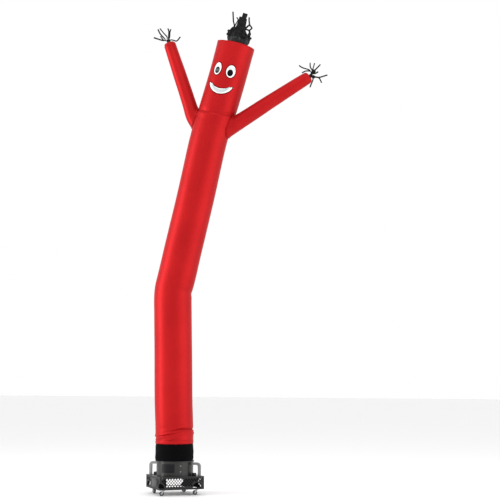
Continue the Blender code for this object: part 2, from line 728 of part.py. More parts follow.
def arch(middle, half_width):
    """The outline of an arch that stands on the panel's lower rim."""
    low = BASE_LOW + RIM
    unit = arc((0.0, 0.0), 1.0, 0.0, 180.0, 10)
    return [(middle + half_width * x, low + ARCH_HEIGHT * z) for x, z in unit]


def make_panel(panel, blower):
    """One side of the base. Its own x runs along it and y inward, from its outer face.

    A windowed side runs the base's whole length, and a plain one fits between the two of them.
    """
    inset = 0.0 if panel.windowed else SHEET + GAP
    high = DECK_TOP - SHEET - GAP
    turn = math.radians(panel.turn)
    toward = turn - math.radians(135.0)
    corner = (HALF_DIAGONAL * math.cos(toward), HALF_DIAGONAL * math.sin(toward), 0.0)
    bm = box((inset, 0.0, BASE_LOW), (BASE_SIDE - inset, SHEET, high))
    obj = solid(panel.name, bm, "gunmetal", blower, corner, turn)

    def through(u, v, w):
        return (u, w - SHEET, v)

    if panel.windowed:
        full, corner_end = ARCH_PLACE, BASE_SIDE
    else:
        full, corner_end = BASE_SIDE - ARCH_PLACE, 0.0
    outlines = [arch(full, ARCH_WIDTH / 2), arch(corner_end, CORNER_ARCH_HALF)]
    if panel.windowed:
        start, end = WINDOW
        low = BASE_LOW + RIM
        top = high - RIM
        outlines.append([(start, low), (end, low), (end, top), (start, top)])
    for number, outline in enumerate(outlines):
        bm = prism(outline, through, 3 * SHEET)
        cutter = helper(f"{panel.name}_cut_{number}", bm, blower, corner, turn)
        boolean(obj, "DIFFERENCE", (cutter,))
    if panel.windowed:
        make_baffle(panel, blower, corner, turn)


def make_baffle(panel, blower, corner, turn):
    """The curved plate behind a window: it starts flat on the panel and turns inward."""
    y = SHEET + GAP
    middle = (WINDOW[0], y + BAFFLE_RADIUS)
    near = [(WINDOW[0] - BAFFLE_LAP, y)]
    near += arc(middle, BAFFLE_RADIUS, -90.0, BAFFLE_END, 9)
    far = [(WINDOW[0] - BAFFLE_LAP, y + BAFFLE)]
    far += arc(middle, BAFFLE_RADIUS - BAFFLE, -90.0, BAFFLE_END, 9)
    high = DECK_TOP - SHEET - GAP

    def upright(u, v, w):
        return (u, v, BASE_LOW + w)

    name = panel.name.replace("panel", "baffle")
    solid(name, prism(near + far[::-1], upright, high - BASE_LOW), "gunmetal", blower, corner, turn)


def make_corner(caster, blower):
    """The gusset that closes a corner of the base, and the caster's cup, stem and nut on it."""
    turn = math.radians(caster.corner)
    tip = HALF_DIAGONAL - (SHEET + GAP) * math.sqrt(2)
    reach = GUSSET_LEG / math.sqrt(2)
    outline = [(tip, 0.0), (tip - reach, reach), (tip - reach, -reach)]
    low = BASE_LOW + GAP

    def flat(u, v, w):
        return (u, v, low + w)

    gusset = solid(f"gusset_{caster.name}", prism(outline, flat, SHEET), "gunmetal", blower, turn=turn)
    swivel = (CASTER_PLACE * math.cos(turn), CASTER_PLACE * math.sin(turn), 0.0)
    bm = cylinder(STEM_RADIUS + GAP, 0.0, BASE_LOW + 2 * SHEET, 12)
    boolean(gusset, "DIFFERENCE", (helper(f"gusset_{caster.name}_hole", bm, blower, swivel),))

    top = low + SHEET + GAP
    profile = [
        (0.0, CUP_LOW),
        (CUP_RADIUS, CUP_LOW),
        (CUP_RADIUS, low - GAP),
        (STEM_RADIUS, low - GAP),
        (STEM_RADIUS, top),
        (NUT_RADIUS, top),
        (NUT_RADIUS, top + NUT_HEIGHT),
        (0.0, top + NUT_HEIGHT),
    ]
    solid(f"caster_mount_{caster.name}", lathe(profile, 12, closed_core=True), "zinc", blower, swivel)
    make_caster(caster, blower, swivel)


def make_caster(caster, blower, swivel):
    """The fork turns under its cup about z, and the wheel in it about its pin."""
    trail = math.radians(caster.trail)
    inner = WHEEL_WIDTH / 2 + FORK_SIDE_CLEAR
    outer = inner + FORK_LEG
    high = CUP_LOW - GAP
    bridge_high = high - FORK_LEG
    bridge_low = bridge_high - FORK_BRIDGE
    bm = box((FORK_REACH[0], -outer, bridge_low), (FORK_REACH[1], outer, bridge_high))
    fork = solid(f"caster_fork_{caster.name}", bm, "zinc", blower, swivel, trail)

    bm = cylinder(FORK_DISC_RADIUS, bridge_low + INSET, high, 12)
    parts = [helper(f"fork_disc_{caster.name}", bm, blower, swivel, trail)]
    leg = [(x * FORK_NARROW, bridge_high - INSET) for x in FORK_REACH]
    leg += arc((CASTER_TRAIL, WHEEL_RADIUS), FORK_FOOT_RADIUS, 40.0, -150.0, 4)
    for name, y in (("near", -outer), ("far", inner)):

        def beside(u, v, w, y=y):
            return (u, y + w, v)

        bm = prism(leg, beside, FORK_LEG)
        parts.append(helper(f"fork_leg_{name}_{caster.name}", bm, blower, swivel, trail))

    reach = outer + FORK_LEG
    bm = cylinder(PIN_RADIUS, -reach, reach, 8, axis="Y")
    bmesh.ops.translate(bm, verts=bm.verts, vec=(CASTER_TRAIL, 0.0, WHEEL_RADIUS))
    parts.append(helper(f"fork_pin_{caster.name}", bm, blower, swivel, trail))
    boolean(fork, "UNION", parts)

    half = WHEEL_WIDTH / 2
    tread = [(BORE_RADIUS, -half), (WHEEL_RADIUS, -half), (WHEEL_RADIUS, half), (BORE_RADIUS, half)]
    hub = (
        swivel[0] + CASTER_TRAIL * math.cos(trail),
        swivel[1] + CASTER_TRAIL * math.sin(trail),
        WHEEL_RADIUS,
    )
    bm = lathe(tread, WHEEL_SIDES, axis="Y", half_step=True)
    solid(f"caster_wheel_{caster.name}", bm, "wheel_black", blower, hub, trail)


def make_drum(blower):
    """The drum with a bead at its foot and a flange on top, and the collar that the sleeve fits."""
    inside = DRUM_RADIUS - DRUM_WALL
    low = DECK_TOP + GAP
    bead_radius = DRUM_RADIUS + BEAD
    flange_low = DRUM_TOP - FLANGE_HEIGHT
    profile = [
        (inside, low),
        (bead_radius, low),
        (bead_radius, low + BEAD),
        (DRUM_RADIUS, low + BEAD + EDGE_STEP),
        (DRUM_RADIUS, flange_low - EDGE_STEP),
        (FLANGE_RADIUS, flange_low),
        (FLANGE_RADIUS, DRUM_TOP),
        (inside, DRUM_TOP),
    ]
    solid("drum", lathe(profile, ROUND_SIDES), "gunmetal", blower)

    inside = COLLAR_RADIUS - DRUM_WALL
    low = DRUM_TOP + GAP
    ring_low = COLLAR_TOP - COLLAR_RING_HEIGHT
    profile = [
        (inside, low),
        (COLLAR_FOOT_RADIUS, low),
        (COLLAR_FOOT_RADIUS, low + DRUM_WALL),
        (COLLAR_RADIUS, low + DRUM_WALL),
        (COLLAR_RADIUS, ring_low - EDGE_STEP),
        (COLLAR_RING_RADIUS, ring_low),
        (COLLAR_RING_RADIUS, COLLAR_TOP),
        (inside, COLLAR_TOP),
    ]
    solid("outlet_collar", lathe(profile, ROUND_SIDES), "black_metal", blower)


def make_handles(blower):
    """Square tube from the deck up and over to the drum, and a rounded block beneath it."""
    half = HANDLE / 2
    low = DECK_TOP + GAP
    bend = (HANDLE_X - HANDLE_BEND, HANDLE_Z - HANDLE_BEND)
    start = DRUM_RADIUS - half  # inside the drum, which cuts the tube's end to its own curve
    outside = [(start, HANDLE_Z + half)]
    outside += arc(bend, HANDLE_BEND + half, 90.0, 0.0, 6)
    outside.append((HANDLE_X + half, low))
    inside = [(HANDLE_X - half, low)]
    inside += arc(bend, HANDLE_BEND - half, 0.0, 90.0, 6)
    inside.append((start, HANDLE_Z - half))

    def across(u, v, w):
        return (u, w - half, v)

    bm = cylinder(DRUM_RADIUS + GAP, DECK_TOP, HANDLE_Z + HANDLE, ROUND_SIDES)
    drum_form = helper("drum_form", bm, blower)
    length, width, height = BLOCK_SIZE
    for side, turn in (("right", 0.0), ("left", math.pi)):
        bm = prism(outside + inside, across, HANDLE)
        handle = solid(f"handle_{side}", bm, "gunmetal", blower, turn=turn)
        boolean(handle, "DIFFERENCE", (drum_form,))
        bm = box(
            (BLOCK_X - length / 2, -width / 2, low),
            (BLOCK_X + length / 2, width / 2, low + height),
        )
        block = solid(f"block_{side}", bm, "gunmetal", blower, turn=turn)
        rounding = block.modifiers.new("rounding", "BEVEL")
        rounding.width = BLOCK_EDGE
        rounding.segments = 2


def make_label(blower):
    """A bare curved plate on the drum's front."""
    inner = DRUM_RADIUS / math.cos(math.pi / ROUND_SIDES) + 2 * GAP
    half = LABEL_WIDTH / 2 / inner
    steps = 12
    outline = []
    for radius, ends in ((inner, (-half, half)), (inner + PATCH, (half, -half))):
        for i in range(steps + 1):
            angle = LABEL_TURN + ends[0] + (ends[1] - ends[0]) * i / steps
            outline.append((radius * math.cos(angle), radius * math.sin(angle)))

    def upright(u, v, w):
        return (u, v, LABEL_LOW + w)

    solid("label_plate", prism(outline, upright, LABEL_HIGH - LABEL_LOW), "label_film", blower)


def stand_on_origin(root):
    """Moves the whole object so that the origin is under the middle of its bounding box."""
    bpy.context.view_layer.update()
    graph = bpy.context.evaluated_depsgraph_get()
    low = Vector((math.inf,) * 3)
    high = Vector((-math.inf,) * 3)
    for obj in bpy.data.objects:
        if obj.type != "MESH" or obj.hide_render:
            continue
        evaluated = obj.evaluated_get(graph)
        mesh = evaluated.to_mesh()
        for vertex in mesh.vertices:
            point = evaluated.matrix_world @ vertex.co
            low = Vector(map(min, low, point))
            high = Vector(map(max, high, point))
        evaluated.to_mesh_clear()
    middle = (low + high) / 2
    root.location = (-middle.x, -middle.y, -low.z)


def main():
    clear_scene()
    root = empty("air_dancer")
    blower = empty("blower", root)
    dancer = empty("dancer", root, rotation=(0.0, 0.0, DANCER_TURN))
    head = empty("head", dancer, NECK, (0.0, HEAD_LEAN, 0.0))
    make_tubes(dancer, head)
    make_crown(head)
    make_face(head)
    make_trims(dancer, head)
    make_deck(blower)
    for panel in PANELS:
        make_panel(panel, blower)
    for caster in CASTERS:
        make_corner(caster, blower)
    make_drum(blower)
    make_handles(blower)
    make_label(blower)
    stand_on_origin(root)


main()
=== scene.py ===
"""The inflatable air dancer on its blower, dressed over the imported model, in metres, +Z up.

Every cloth solid is replaced by a finely meshed, wrinkled and stitched piece that follows the same
rings. The blower's sides get their diamond holes and screws, and the wheels their treads and hubs.
"""

import math
from collections import namedtuple

import bmesh
import bpy
import numpy as np
from mathutils import Matrix, Vector, noise


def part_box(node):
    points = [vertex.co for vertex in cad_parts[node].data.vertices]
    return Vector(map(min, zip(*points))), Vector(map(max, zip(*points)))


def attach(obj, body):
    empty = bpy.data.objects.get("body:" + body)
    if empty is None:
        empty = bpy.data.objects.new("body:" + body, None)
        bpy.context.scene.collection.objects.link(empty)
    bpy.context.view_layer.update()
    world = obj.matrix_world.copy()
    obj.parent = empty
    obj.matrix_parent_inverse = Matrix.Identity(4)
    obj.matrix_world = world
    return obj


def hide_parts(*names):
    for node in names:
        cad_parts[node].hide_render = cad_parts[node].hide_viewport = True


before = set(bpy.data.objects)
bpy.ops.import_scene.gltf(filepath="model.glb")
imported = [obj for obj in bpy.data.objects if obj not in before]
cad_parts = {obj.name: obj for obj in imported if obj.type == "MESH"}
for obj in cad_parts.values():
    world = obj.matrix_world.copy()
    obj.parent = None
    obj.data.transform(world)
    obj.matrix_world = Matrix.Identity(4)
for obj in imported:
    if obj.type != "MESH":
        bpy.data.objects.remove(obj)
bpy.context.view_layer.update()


def table(kind, *rows):
    """A table: each row's values under its kind's named columns."""
    return [kind(*row) for row in rows]


# ---- Where things are

drum_low, drum_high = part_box("drum")
AXIS = (Vector(drum_low) + Vector(drum_high)) / 2
AXIS.z = 0.0
DANCER_TURN = math.radians(10.0)
NECK = Vector((0.519, 0.0, 4.753))
HEAD_TOP = Vector((0.773, 0.0, 5.617))
HEAD_LENGTH = (HEAD_TOP - NECK).length - 0.012
HEAD_AXIS = (HEAD_TOP - NECK).normalized()
HEAD_LEAN = math.atan2(HEAD_AXIS.x, HEAD_AXIS.z)
BLOWER = Matrix.Translation(AXIS)
DANCER = BLOWER @ Matrix.Rotation(DANCER_TURN, 4, "Z")
HEAD = DANCER @ Matrix.Translation(NECK) @ Matrix.Rotation(HEAD_LEAN, 4, "Y")

# A baffle's painted shade starts this far from the axis, toward its end deep in the base; deep is
# where that is in its width
BAFFLE_SHADE_START = 0.130
baffle_low, baffle_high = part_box("baffle_front_left")
BAFFLE_DEEP = (AXIS.x - BAFFLE_SHADE_START - baffle_low[0]) / (baffle_high[0] - baffle_low[0])

# ---- The dancer's tubes: rings of their outer wall in the dancer's upright plane

GAP = 0.0003
CLOTH = 0.002
RING_SPACING = 0.012
FINE_SPACING = 0.004
FINE_BELOW = 0.87
TUBE_SIDES = 112
ARM_SIDES = 72
# The radii that give the flat cloths' widths
BODY_RADIUS = 0.2325
SLEEVE_RADIUS = 0.233
HEAD_RADIUS = 0.231
# Where the body's own long seam is, in degrees from +x
BACK_SEAM = 96.0
Ring = namedtuple("Ring", "x z radius")
SLEEVE_RINGS = table(
    Ring,
    (-0.005, 0.4096, 0.2270),
    (-0.006, 0.4320, 0.2345),
    (-0.007, 0.5700, 0.2335),
    (-0.009, 0.6100, 0.2310),
    (-0.010, 0.6350, 0.2260),
)
BODY_RINGS = table(
    Ring,
    (-0.009, 0.6180, 0.2330),
    (-0.009, 0.6270, 0.2350),
    (-0.009, 0.6400, 0.2365),
    (-0.009, 0.6560, 0.2345),
    (-0.009, 0.6800, 0.2340),
    (-0.013, 0.8700, 0.2345),
    (-0.023, 1.1600, 0.2350),
    (-0.030, 1.6500, 0.2355),
    (-0.038, 2.2000, 0.2355),
    (-0.041, 2.4000, 0.2355),
    (-0.032, 2.5250, 0.2350),
    (0.000, 2.6520, 0.2365),
    (0.031, 2.7770, 0.2365),
    (0.089, 3.0280, 0.2360),
    (0.243, 3.6570, 0.2360),
    (0.385, 4.2890, 0.2355),
    (0.458, 4.5600, 0.2365),
)
ShoulderRing = namedtuple("ShoulderRing", "below radius")
SHOULDER_RINGS = table(
    ShoulderRing,
    (0.120, 0.2385),
    (0.060, 0.2405),
    (0.036, 0.2410),
    (0.020, 0.2385),
    (0.008, 0.2335),
    (GAP, 0.2290),
)
# How far the neck seam sits below its plane, and how far from it that is felt
Drop = namedtuple("Drop", "all_round side front")
SEAM_DROP = Drop(all_round=0.027, side=0.016, front=0.016)
SEAM_REACH = 0.110
HEAD_RINGS = table(
    Ring,
    (0.004, GAP, 0.2285),
    (0.004, 0.010, 0.2305),
    (0.005, 0.026, 0.2345),
    (0.007, 0.050, 0.2365),
    (0.009, 0.120, 0.2375),
    (0.009, 0.300, 0.2375),
    (0.008, 0.600, 0.2365),
    (0.005, 0.780, 0.2380),
    (0.003, 0.870, 0.2395),
    (0.002, HEAD_LENGTH, 0.2385),
)
CROWN_RADIUS = 0.2390
CROWN_RISE = 0.010
CROWN_BEAD_RISE = 0.0010
ARM_RIGHT_RINGS = table(
    Ring,
    (0.500, 4.434, 0.1020),
    (0.616, 4.503, 0.1015),
    (0.809, 4.614, 0.0960),
    (1.250, 4.876, 0.0870),
    (1.610, 5.085, 0.0770),
    (1.670, 5.119, 0.0735),
    (1.700, 5.136, 0.0650),
    (1.714, 5.144, 0.0450),
    (1.720, 5.148, 0.0230),
)
ARM_LEFT_RINGS = table(
    Ring,
    (0.336, 4.450, 0.0640),
    (0.286, 4.565, 0.0750),
    (0.216, 4.705, 0.0915),
    (0.157, 4.890, 0.0890),
    (0.036, 5.254, 0.0840),
    (-0.084, 5.605, 0.0770),
    (-0.101, 5.655, 0.0750),
    (-0.110, 5.680, 0.0660),
    (-0.114, 5.692, 0.0450),
    (-0.116, 5.698, 0.0230),
)
# side 0 is +x and -90 the front; climb is metres of rise per radian; depth pushes the wall inward
Fold = namedtuple("Fold", "side z climb wide tall depth")
BODY_FOLDS = table(
    Fold,
    (-112.0, 0.718, 0.035, 0.95, 0.0070, 0.019),
    (-108.0, 0.701, 0.034, 0.85, 0.0110, -0.009),
    (-90.0, 0.736, 0.034, 0.70, 0.0100, -0.006),
    (-66.0, 0.786, 0.040, 0.48, 0.0070, 0.016),
    (-12.0, 0.789, -0.008, 0.76, 0.0080, 0.021),
    (-30.0, 0.769, 0.006, 0.80, 0.0110, -0.009),
    (-80.0, 0.660, 0.030, 0.40, 0.0080, 0.008),
    (-78.0, 0.822, 0.020, 0.50, 0.0140, 0.006),
    (8.0, 0.738, 0.000, 0.45, 0.0220, -0.009),
    (-170.0, 0.716, 0.000, 0.40, 0.0160, -0.008),
    (-160.0, 0.684, 0.020, 0.35, 0.0090, 0.005),
    (100.0, 0.760, -0.035, 0.90, 0.0120, 0.014),
    (80.0, 0.700, 0.030, 0.60, 0.0100, 0.010),
    (0.0, 2.500, 0.000, 0.75, 0.0400, 0.008),
)
SLEEVE_FOLDS = table(
    Fold,
    (-155.0, 0.450, 0.000, 0.60, 0.030, -0.004),
    (-60.0, 0.600, 0.030, 0.80, 0.014, 0.003),
    (60.0, 0.560, -0.040, 0.70, 0.018, 0.003),
)
# Smaller creases that only the dressed cloth shows
BODY_CREASES = table(
    Fold,
    (-15.0, 2.560, -0.030, 0.30, 0.010, 0.004),
    (10.0, 2.455, 0.035, 0.35, 0.011, 0.004),
    (-30.0, 2.640, -0.060, 0.25, 0.012, 0.002),
    (165.0, 2.600, 0.040, 0.40, 0.030, -0.002),
    (-70.0, 4.610, 0.200, 0.25, 0.020, 0.002),
    (-20.0, 4.400, -0.300, 0.20, 0.020, 0.003),
    (-150.0, 4.450, 0.260, 0.25, 0.022, 0.003),
    (-60.0, 0.742, 0.030, 0.40, 0.008, -0.004),
    (-30.0, 0.648, -0.010, 0.50, 0.008, 0.003),
    (60.0, 0.656, 0.010, 0.60, 0.009, 0.003),
    (170.0, 0.660, -0.020, 0.70, 0.012, 0.004),
)

# Puckers that run out from a sewn edge: how many round it, how far they reach and how deep
Gather = namedtuple("Gather", "count reach depth seed")
SLEEVE_TOP_GATHER = Gather(31, 0.035, 0.0022, 1.3)
SLEEVE_LOW_GATHER = Gather(23, 0.030, 0.0018, 4.1)
BODY_LOW_GATHER = Gather(37, 0.030, 0.0016, 2.2)
SHOULDER_GATHER = Gather(29, 0.055, 0.0022, 0.7)
NECK_GATHER = Gather(27, 0.045, 0.0022, 5.0)
HEAD_TOP_GATHER = Gather(33, 0.035, 0.0020, 3.3)
CROWN_GATHER = Gather(33, 0.030, 0.0020, 3.3)
ARM_GATHER = Gather(11, 0.045, 0.0024, 0.0)
# Slow unevenness: its depth, the radius and scale it is sampled at, and its stretch along
Cloud = namedtuple("Cloud", "depth radius scale seed stretch")
SLEEVE_CLOUD = Cloud(0.0035, 0.233, 9.0, 3.0, 0.6)
BODY_CLOUD = Cloud(0.0022, 0.232, 2.6, 1.0, 2.2)
BODY_FINE_CLOUD = Cloud(0.0009, 0.232, 9.0, 7.0, 3.0)
HEAD_CLOUD = Cloud(0.0007, 0.230, 7.0, 11.0, 2.0)
ARM_CLOUD = Cloud(0.0016, 0.085, 9.0, 0.0, 2.0)
# Raised beads of thread or rolled cloth, and how far above the cloth their middle is
Bead = namedtuple("Bead", "width height lift")
SLEEVE_BEAD = Bead(0.0050, 0.0034, 0.0004)
NECK_BEAD = Bead(0.0060, 0.0036, 0.0002)
CROWN_BEAD = Bead(0.0050, 0.0036, 0.0004)
ARM_BEAD = Bead(0.0100, 0.0044, 0.0016)
TIE_BEAD = Bead(0.0070, 0.0030, 0.0006)
# The air leaves the head's top edge slack on one side: the most it sags, where, and its reach
TOP_SAG = 0.017
TOP_SAG_SIDE = math.radians(-125.0)
TOP_SAG_REACH = 0.075
# An arm starts this far outside the body, and its first ring is sunk into the body's wall
ARM_CLEAR = 0.0006
ARM_SUNK = -0.0014
# The arms widen where they are sewn on
ARM_FLARE = 0.014
ARM_FLARE_REACH = 0.024

# ---- The face

PATCH = 0.001
PATCH_CLEAR = 0.0006
PATCH_ROWS = 18
FACE_RADIUS = 0.2295
FACE_TURN = math.radians(3.4)
EYE_Z = 0.507
EYE_HALF_HEIGHT = 0.0790
PUPIL_Z = 0.4875
PUPIL_HALF_HEIGHT = 0.0400
Eye = namedtuple("Eye", "name turn half pupil_turn pupil_half")
EYES = table(
    Eye,
    ("left", -23.2, 12.4, -22.6, 7.0),
    ("right", 20.0, 14.2, 19.0, 7.9),
)
SMILE_HALF_ANGLE = math.radians(38.0)
SMILE_LOW_Z = 0.202
SMILE_LOW_RISE = 0.088
SMILE_HIGH_Z = 0.274
SMILE_HIGH_RISE = 0.070
EYE_BEAD = Bead(0.0100, 0.0016, 0.0002)
PUPIL_BEAD = Bead(0.0060, 0.0016, 0.0002)

# ---- Cut-strip trims

# A strip takes up some of its cuff's slots and ends at its tip, by way of points or with a bow
Strip = namedtuple("Strip", "slot slots width tip via bow", defaults=((), (0.0, 0.0, 0.0)))
STRIP_STEPS = 40
STRIP_LANES = 6
Cuff = namedtuple("Cuff", "radius flare puff height sides ripples ripple")
# The share of a cuff, from its foot up, that has the cuff's lighter look: partly its own grey tone,
# partly painted crumple highlights
CUFF_SEWN = 0.52
# The way the strips' flat sides face once they have left the cuff
STRIP_FRONT = Vector((0.292, -0.956, 0.0))
HAIR_X = 0.009
HAIR_CUFF = Cuff(radius=0.119, flare=0.006, puff=0.018, height=0.140, sides=28, ripples=7,
                 ripple=0.012)
HAIR_STRIPS = table(
    Strip,
    (20, 3, 0.062, (0.010, -0.040, 0.402), ((0.008, -0.060, 0.210),)),
    (17, 3, 0.054, (-0.022, -0.052, 0.344), ((-0.030, -0.062, 0.205),)),
    (23, 3, 0.046, (0.028, -0.046, 0.322), ((0.046, -0.052, 0.205),)),
    (5, 4, 0.058, (-0.012, 0.020, 0.388), ((-0.006, 0.040, 0.210),)),
    (9, 3, 0.048, (-0.038, 0.026, 0.334), ((-0.040, 0.036, 0.205),)),
    (2, 3, 0.040, (0.006, 0.030, 0.350), ((0.030, 0.036, 0.205),)),
    (13, 1, 0.018, (-0.167, -0.010, 0.396), ((-0.098, 0.010, 0.205), (-0.131, 0.0, 0.286))),
    (12, 1, 0.015, (-0.108, 0.020, 0.343), ((-0.104, 0.030, 0.235), (-0.085, 0.030, 0.312))),
    (27, 1, 0.019, (0.065, -0.020, 0.368),
     ((0.140, -0.020, 0.160), (0.114, -0.020, 0.200), (0.138, -0.020, 0.240),
      (0.100, -0.020, 0.274), (0.077, -0.020, 0.324))),
    (26, 1, 0.022, (0.102, -0.030, 0.278),
     ((0.130, -0.035, 0.172), (0.116, -0.035, 0.200), (0.066, -0.030, 0.216))),
    (14, 2, 0.036, (-0.142, -0.050, 0.078),
     ((-0.106, -0.030, 0.160), (-0.096, -0.040, 0.182), (-0.118, -0.048, 0.136))),
    (16, 1, 0.046, (-0.040, -0.095, 0.130), ((-0.080, -0.080, 0.160), (-0.062, -0.092, 0.176))),
    (15, 2, 0.034, (-0.078, -0.124, 0.060), (), (-0.024, -0.040, 0.040)),
    (24, 2, 0.036, (0.074, -0.118, 0.064), (), (0.016, -0.040, 0.040)),
    (0, 2, 0.034, (0.128, 0.020, 0.080), (), (0.014, 0.0, 0.030)),
    (7, 2, 0.040, (-0.030, 0.138, 0.080), (), (-0.010, 0.050, 0.060)),
)
HAND_SEAT = 0.018
HAND_CUFF = Cuff(radius=0.0204, flare=0.006, puff=0.0, height=0.052, sides=20, ripples=5,
                 ripple=0.0010)
HAND_RIGHT_STRIPS = table(
    Strip,
    (10, 1, 0.016, (-0.118, -0.030, 0.146), ((0.014, -0.020, 0.082), (-0.068, -0.030, 0.113))),
    (11, 1, 0.016, (-0.080, -0.036, 0.050), ((0.030, -0.030, 0.062), (-0.026, -0.040, 0.068))),
    (9, 1, 0.016, (0.019, -0.010, 0.178), ((0.044, -0.010, 0.080), (0.022, -0.010, 0.122))),
    (7, 1, 0.014, (0.073, 0.010, 0.175), ((0.059, 0.010, 0.131),)),
    (12, 1, 0.017, (0.152, -0.020, 0.145), ((0.072, -0.020, 0.070),)),
    (14, 1, 0.019, (0.127, -0.040, 0.050), ((0.085, -0.030, 0.032),)),
    (17, 1, 0.017, (0.238, -0.020, 0.007), ((0.080, -0.020, -0.004), (0.137, -0.020, -0.016))),
    (19, 1, 0.016, (0.161, 0.0, -0.082), ((0.080, -0.010, -0.010), (0.130, -0.010, -0.022))),
    (18, 1, 0.017, (0.019, -0.030, -0.139), ((0.060, -0.030, -0.030), (0.048, -0.030, -0.070))),
    (13, 1, 0.034, (0.050, -0.034, 0.076), ((0.066, -0.020, 0.046), (0.076, -0.026, 0.064))),
    (16, 1, 0.034, (0.046, -0.034, -0.022), ((0.066, -0.020, 0.006), (0.074, -0.026, -0.010))),
)
HAND_LEFT_STRIPS = table(
    Strip,
    (10, 1, 0.019, (-0.205, -0.020, 0.089), ((-0.046, -0.020, 0.040), (-0.097, -0.020, 0.048))),
    (11, 1, 0.018, (-0.153, -0.010, 0.199), ((-0.060, -0.010, 0.066), (-0.120, -0.010, 0.134))),
    (9, 1, 0.015, (-0.126, 0.010, 0.112), ((-0.088, 0.010, 0.062),)),
    (13, 1, 0.016, (-0.123, -0.020, 0.205), ((-0.028, -0.020, 0.088), (-0.071, -0.020, 0.139))),
    (15, 1, 0.018, (-0.016, -0.020, 0.197), ((-0.006, -0.020, 0.090), (-0.002, -0.020, 0.156))),
    (6, 1, 0.016, (0.015, 0.010, 0.195), ((-0.002, 0.010, 0.090), (0.002, 0.010, 0.150))),
    (2, 1, 0.017, (0.140, 0.020, 0.088), ((0.034, 0.030, 0.056), (0.088, 0.030, 0.040))),
    (0, 1, 0.015, (0.060, -0.020, 0.036), ((0.022, -0.020, 0.048),)),
)

# ---- The blower

BASE_SIDE = 0.565
BASE_LOW = 0.0725
PANEL_TOP = 0.2257
SHEET = 0.003
HALF_DIAGONAL = BASE_SIDE / math.sqrt(2)
RIM = 0.022
ARCH_PLACE = 0.090
ARCH_WIDTH = 0.105
ARCH_HEIGHT = 0.060
CORNER_ARCH_HALF = 0.058
WINDOW = (0.216, 0.414)
DIAMOND_PITCH = (0.0350, 0.0370)
DIAMOND_HALF = (0.0136, 0.0146)
DIAMOND_CLEAR = 0.0055
# The back left side's air inlet: its outline along and up the panel
INLET_PANEL = "panel_back_left"
INLET = ((0.070, 0.142), (0.080, 0.166), (0.350, 0.166), (0.350, 0.0800), (0.118, 0.0800))
DRUM_RADIUS = 0.226
DRUM_BOLT_TURNS = (-135.0, -45.0, 45.0, 135.0)
DRUM_BOLT_HEIGHTS = (0.283, 0.352)
# Half of a hex head's width
DRUM_BOLT = 0.0070
PANEL_SCREW = 0.0042
AXLE_NUT = 0.0050
CASTER_PLACE = 0.300
CASTER_TRAIL = 0.022
WHEEL_RADIUS = 0.028
WHEEL_WIDTH = 0.022
# An axle nut's seat: past the wheel's side, its gap and the fork's cheek
NUT_PLACE = WHEEL_WIDTH / 2 + 0.0015 + 0.0020
# Half of a wheel's profile: the radius, and how far in from the wheel's side
Section = namedtuple("Section", "radius inset")
TREAD = table(
    Section,
    (0.0205, 0.0012),
    (0.0250, 0.0),
    (WHEEL_RADIUS - 0.0012, 0.0015),
    (WHEEL_RADIUS, 0.0045),
)
WHEEL_HUB = table(
    Section,
    (0.0045, 0.0002),
    (0.0080, 0.0),
    (0.0170, 0.0012),
    (0.0206, 0.0010),
)
Caster = namedtuple("Caster", "name corner trail")
CASTERS = table(
    Caster,
    ("front", -90.0, 205.0),
    ("right", 0.0, 215.0),
    ("back", 90.0, 200.0),
    ("left", 180.0, 330.0),
)
Panel = namedtuple("Panel", "name turn windowed")
PANELS = table(
    Panel,
    ("panel_front_left", -45.0, True),
    ("panel_front_right", 45.0, False),
    ("panel_back_right", 135.0, True),
    ("panel_back_left", 225.0, False),
)


# ---- Materials


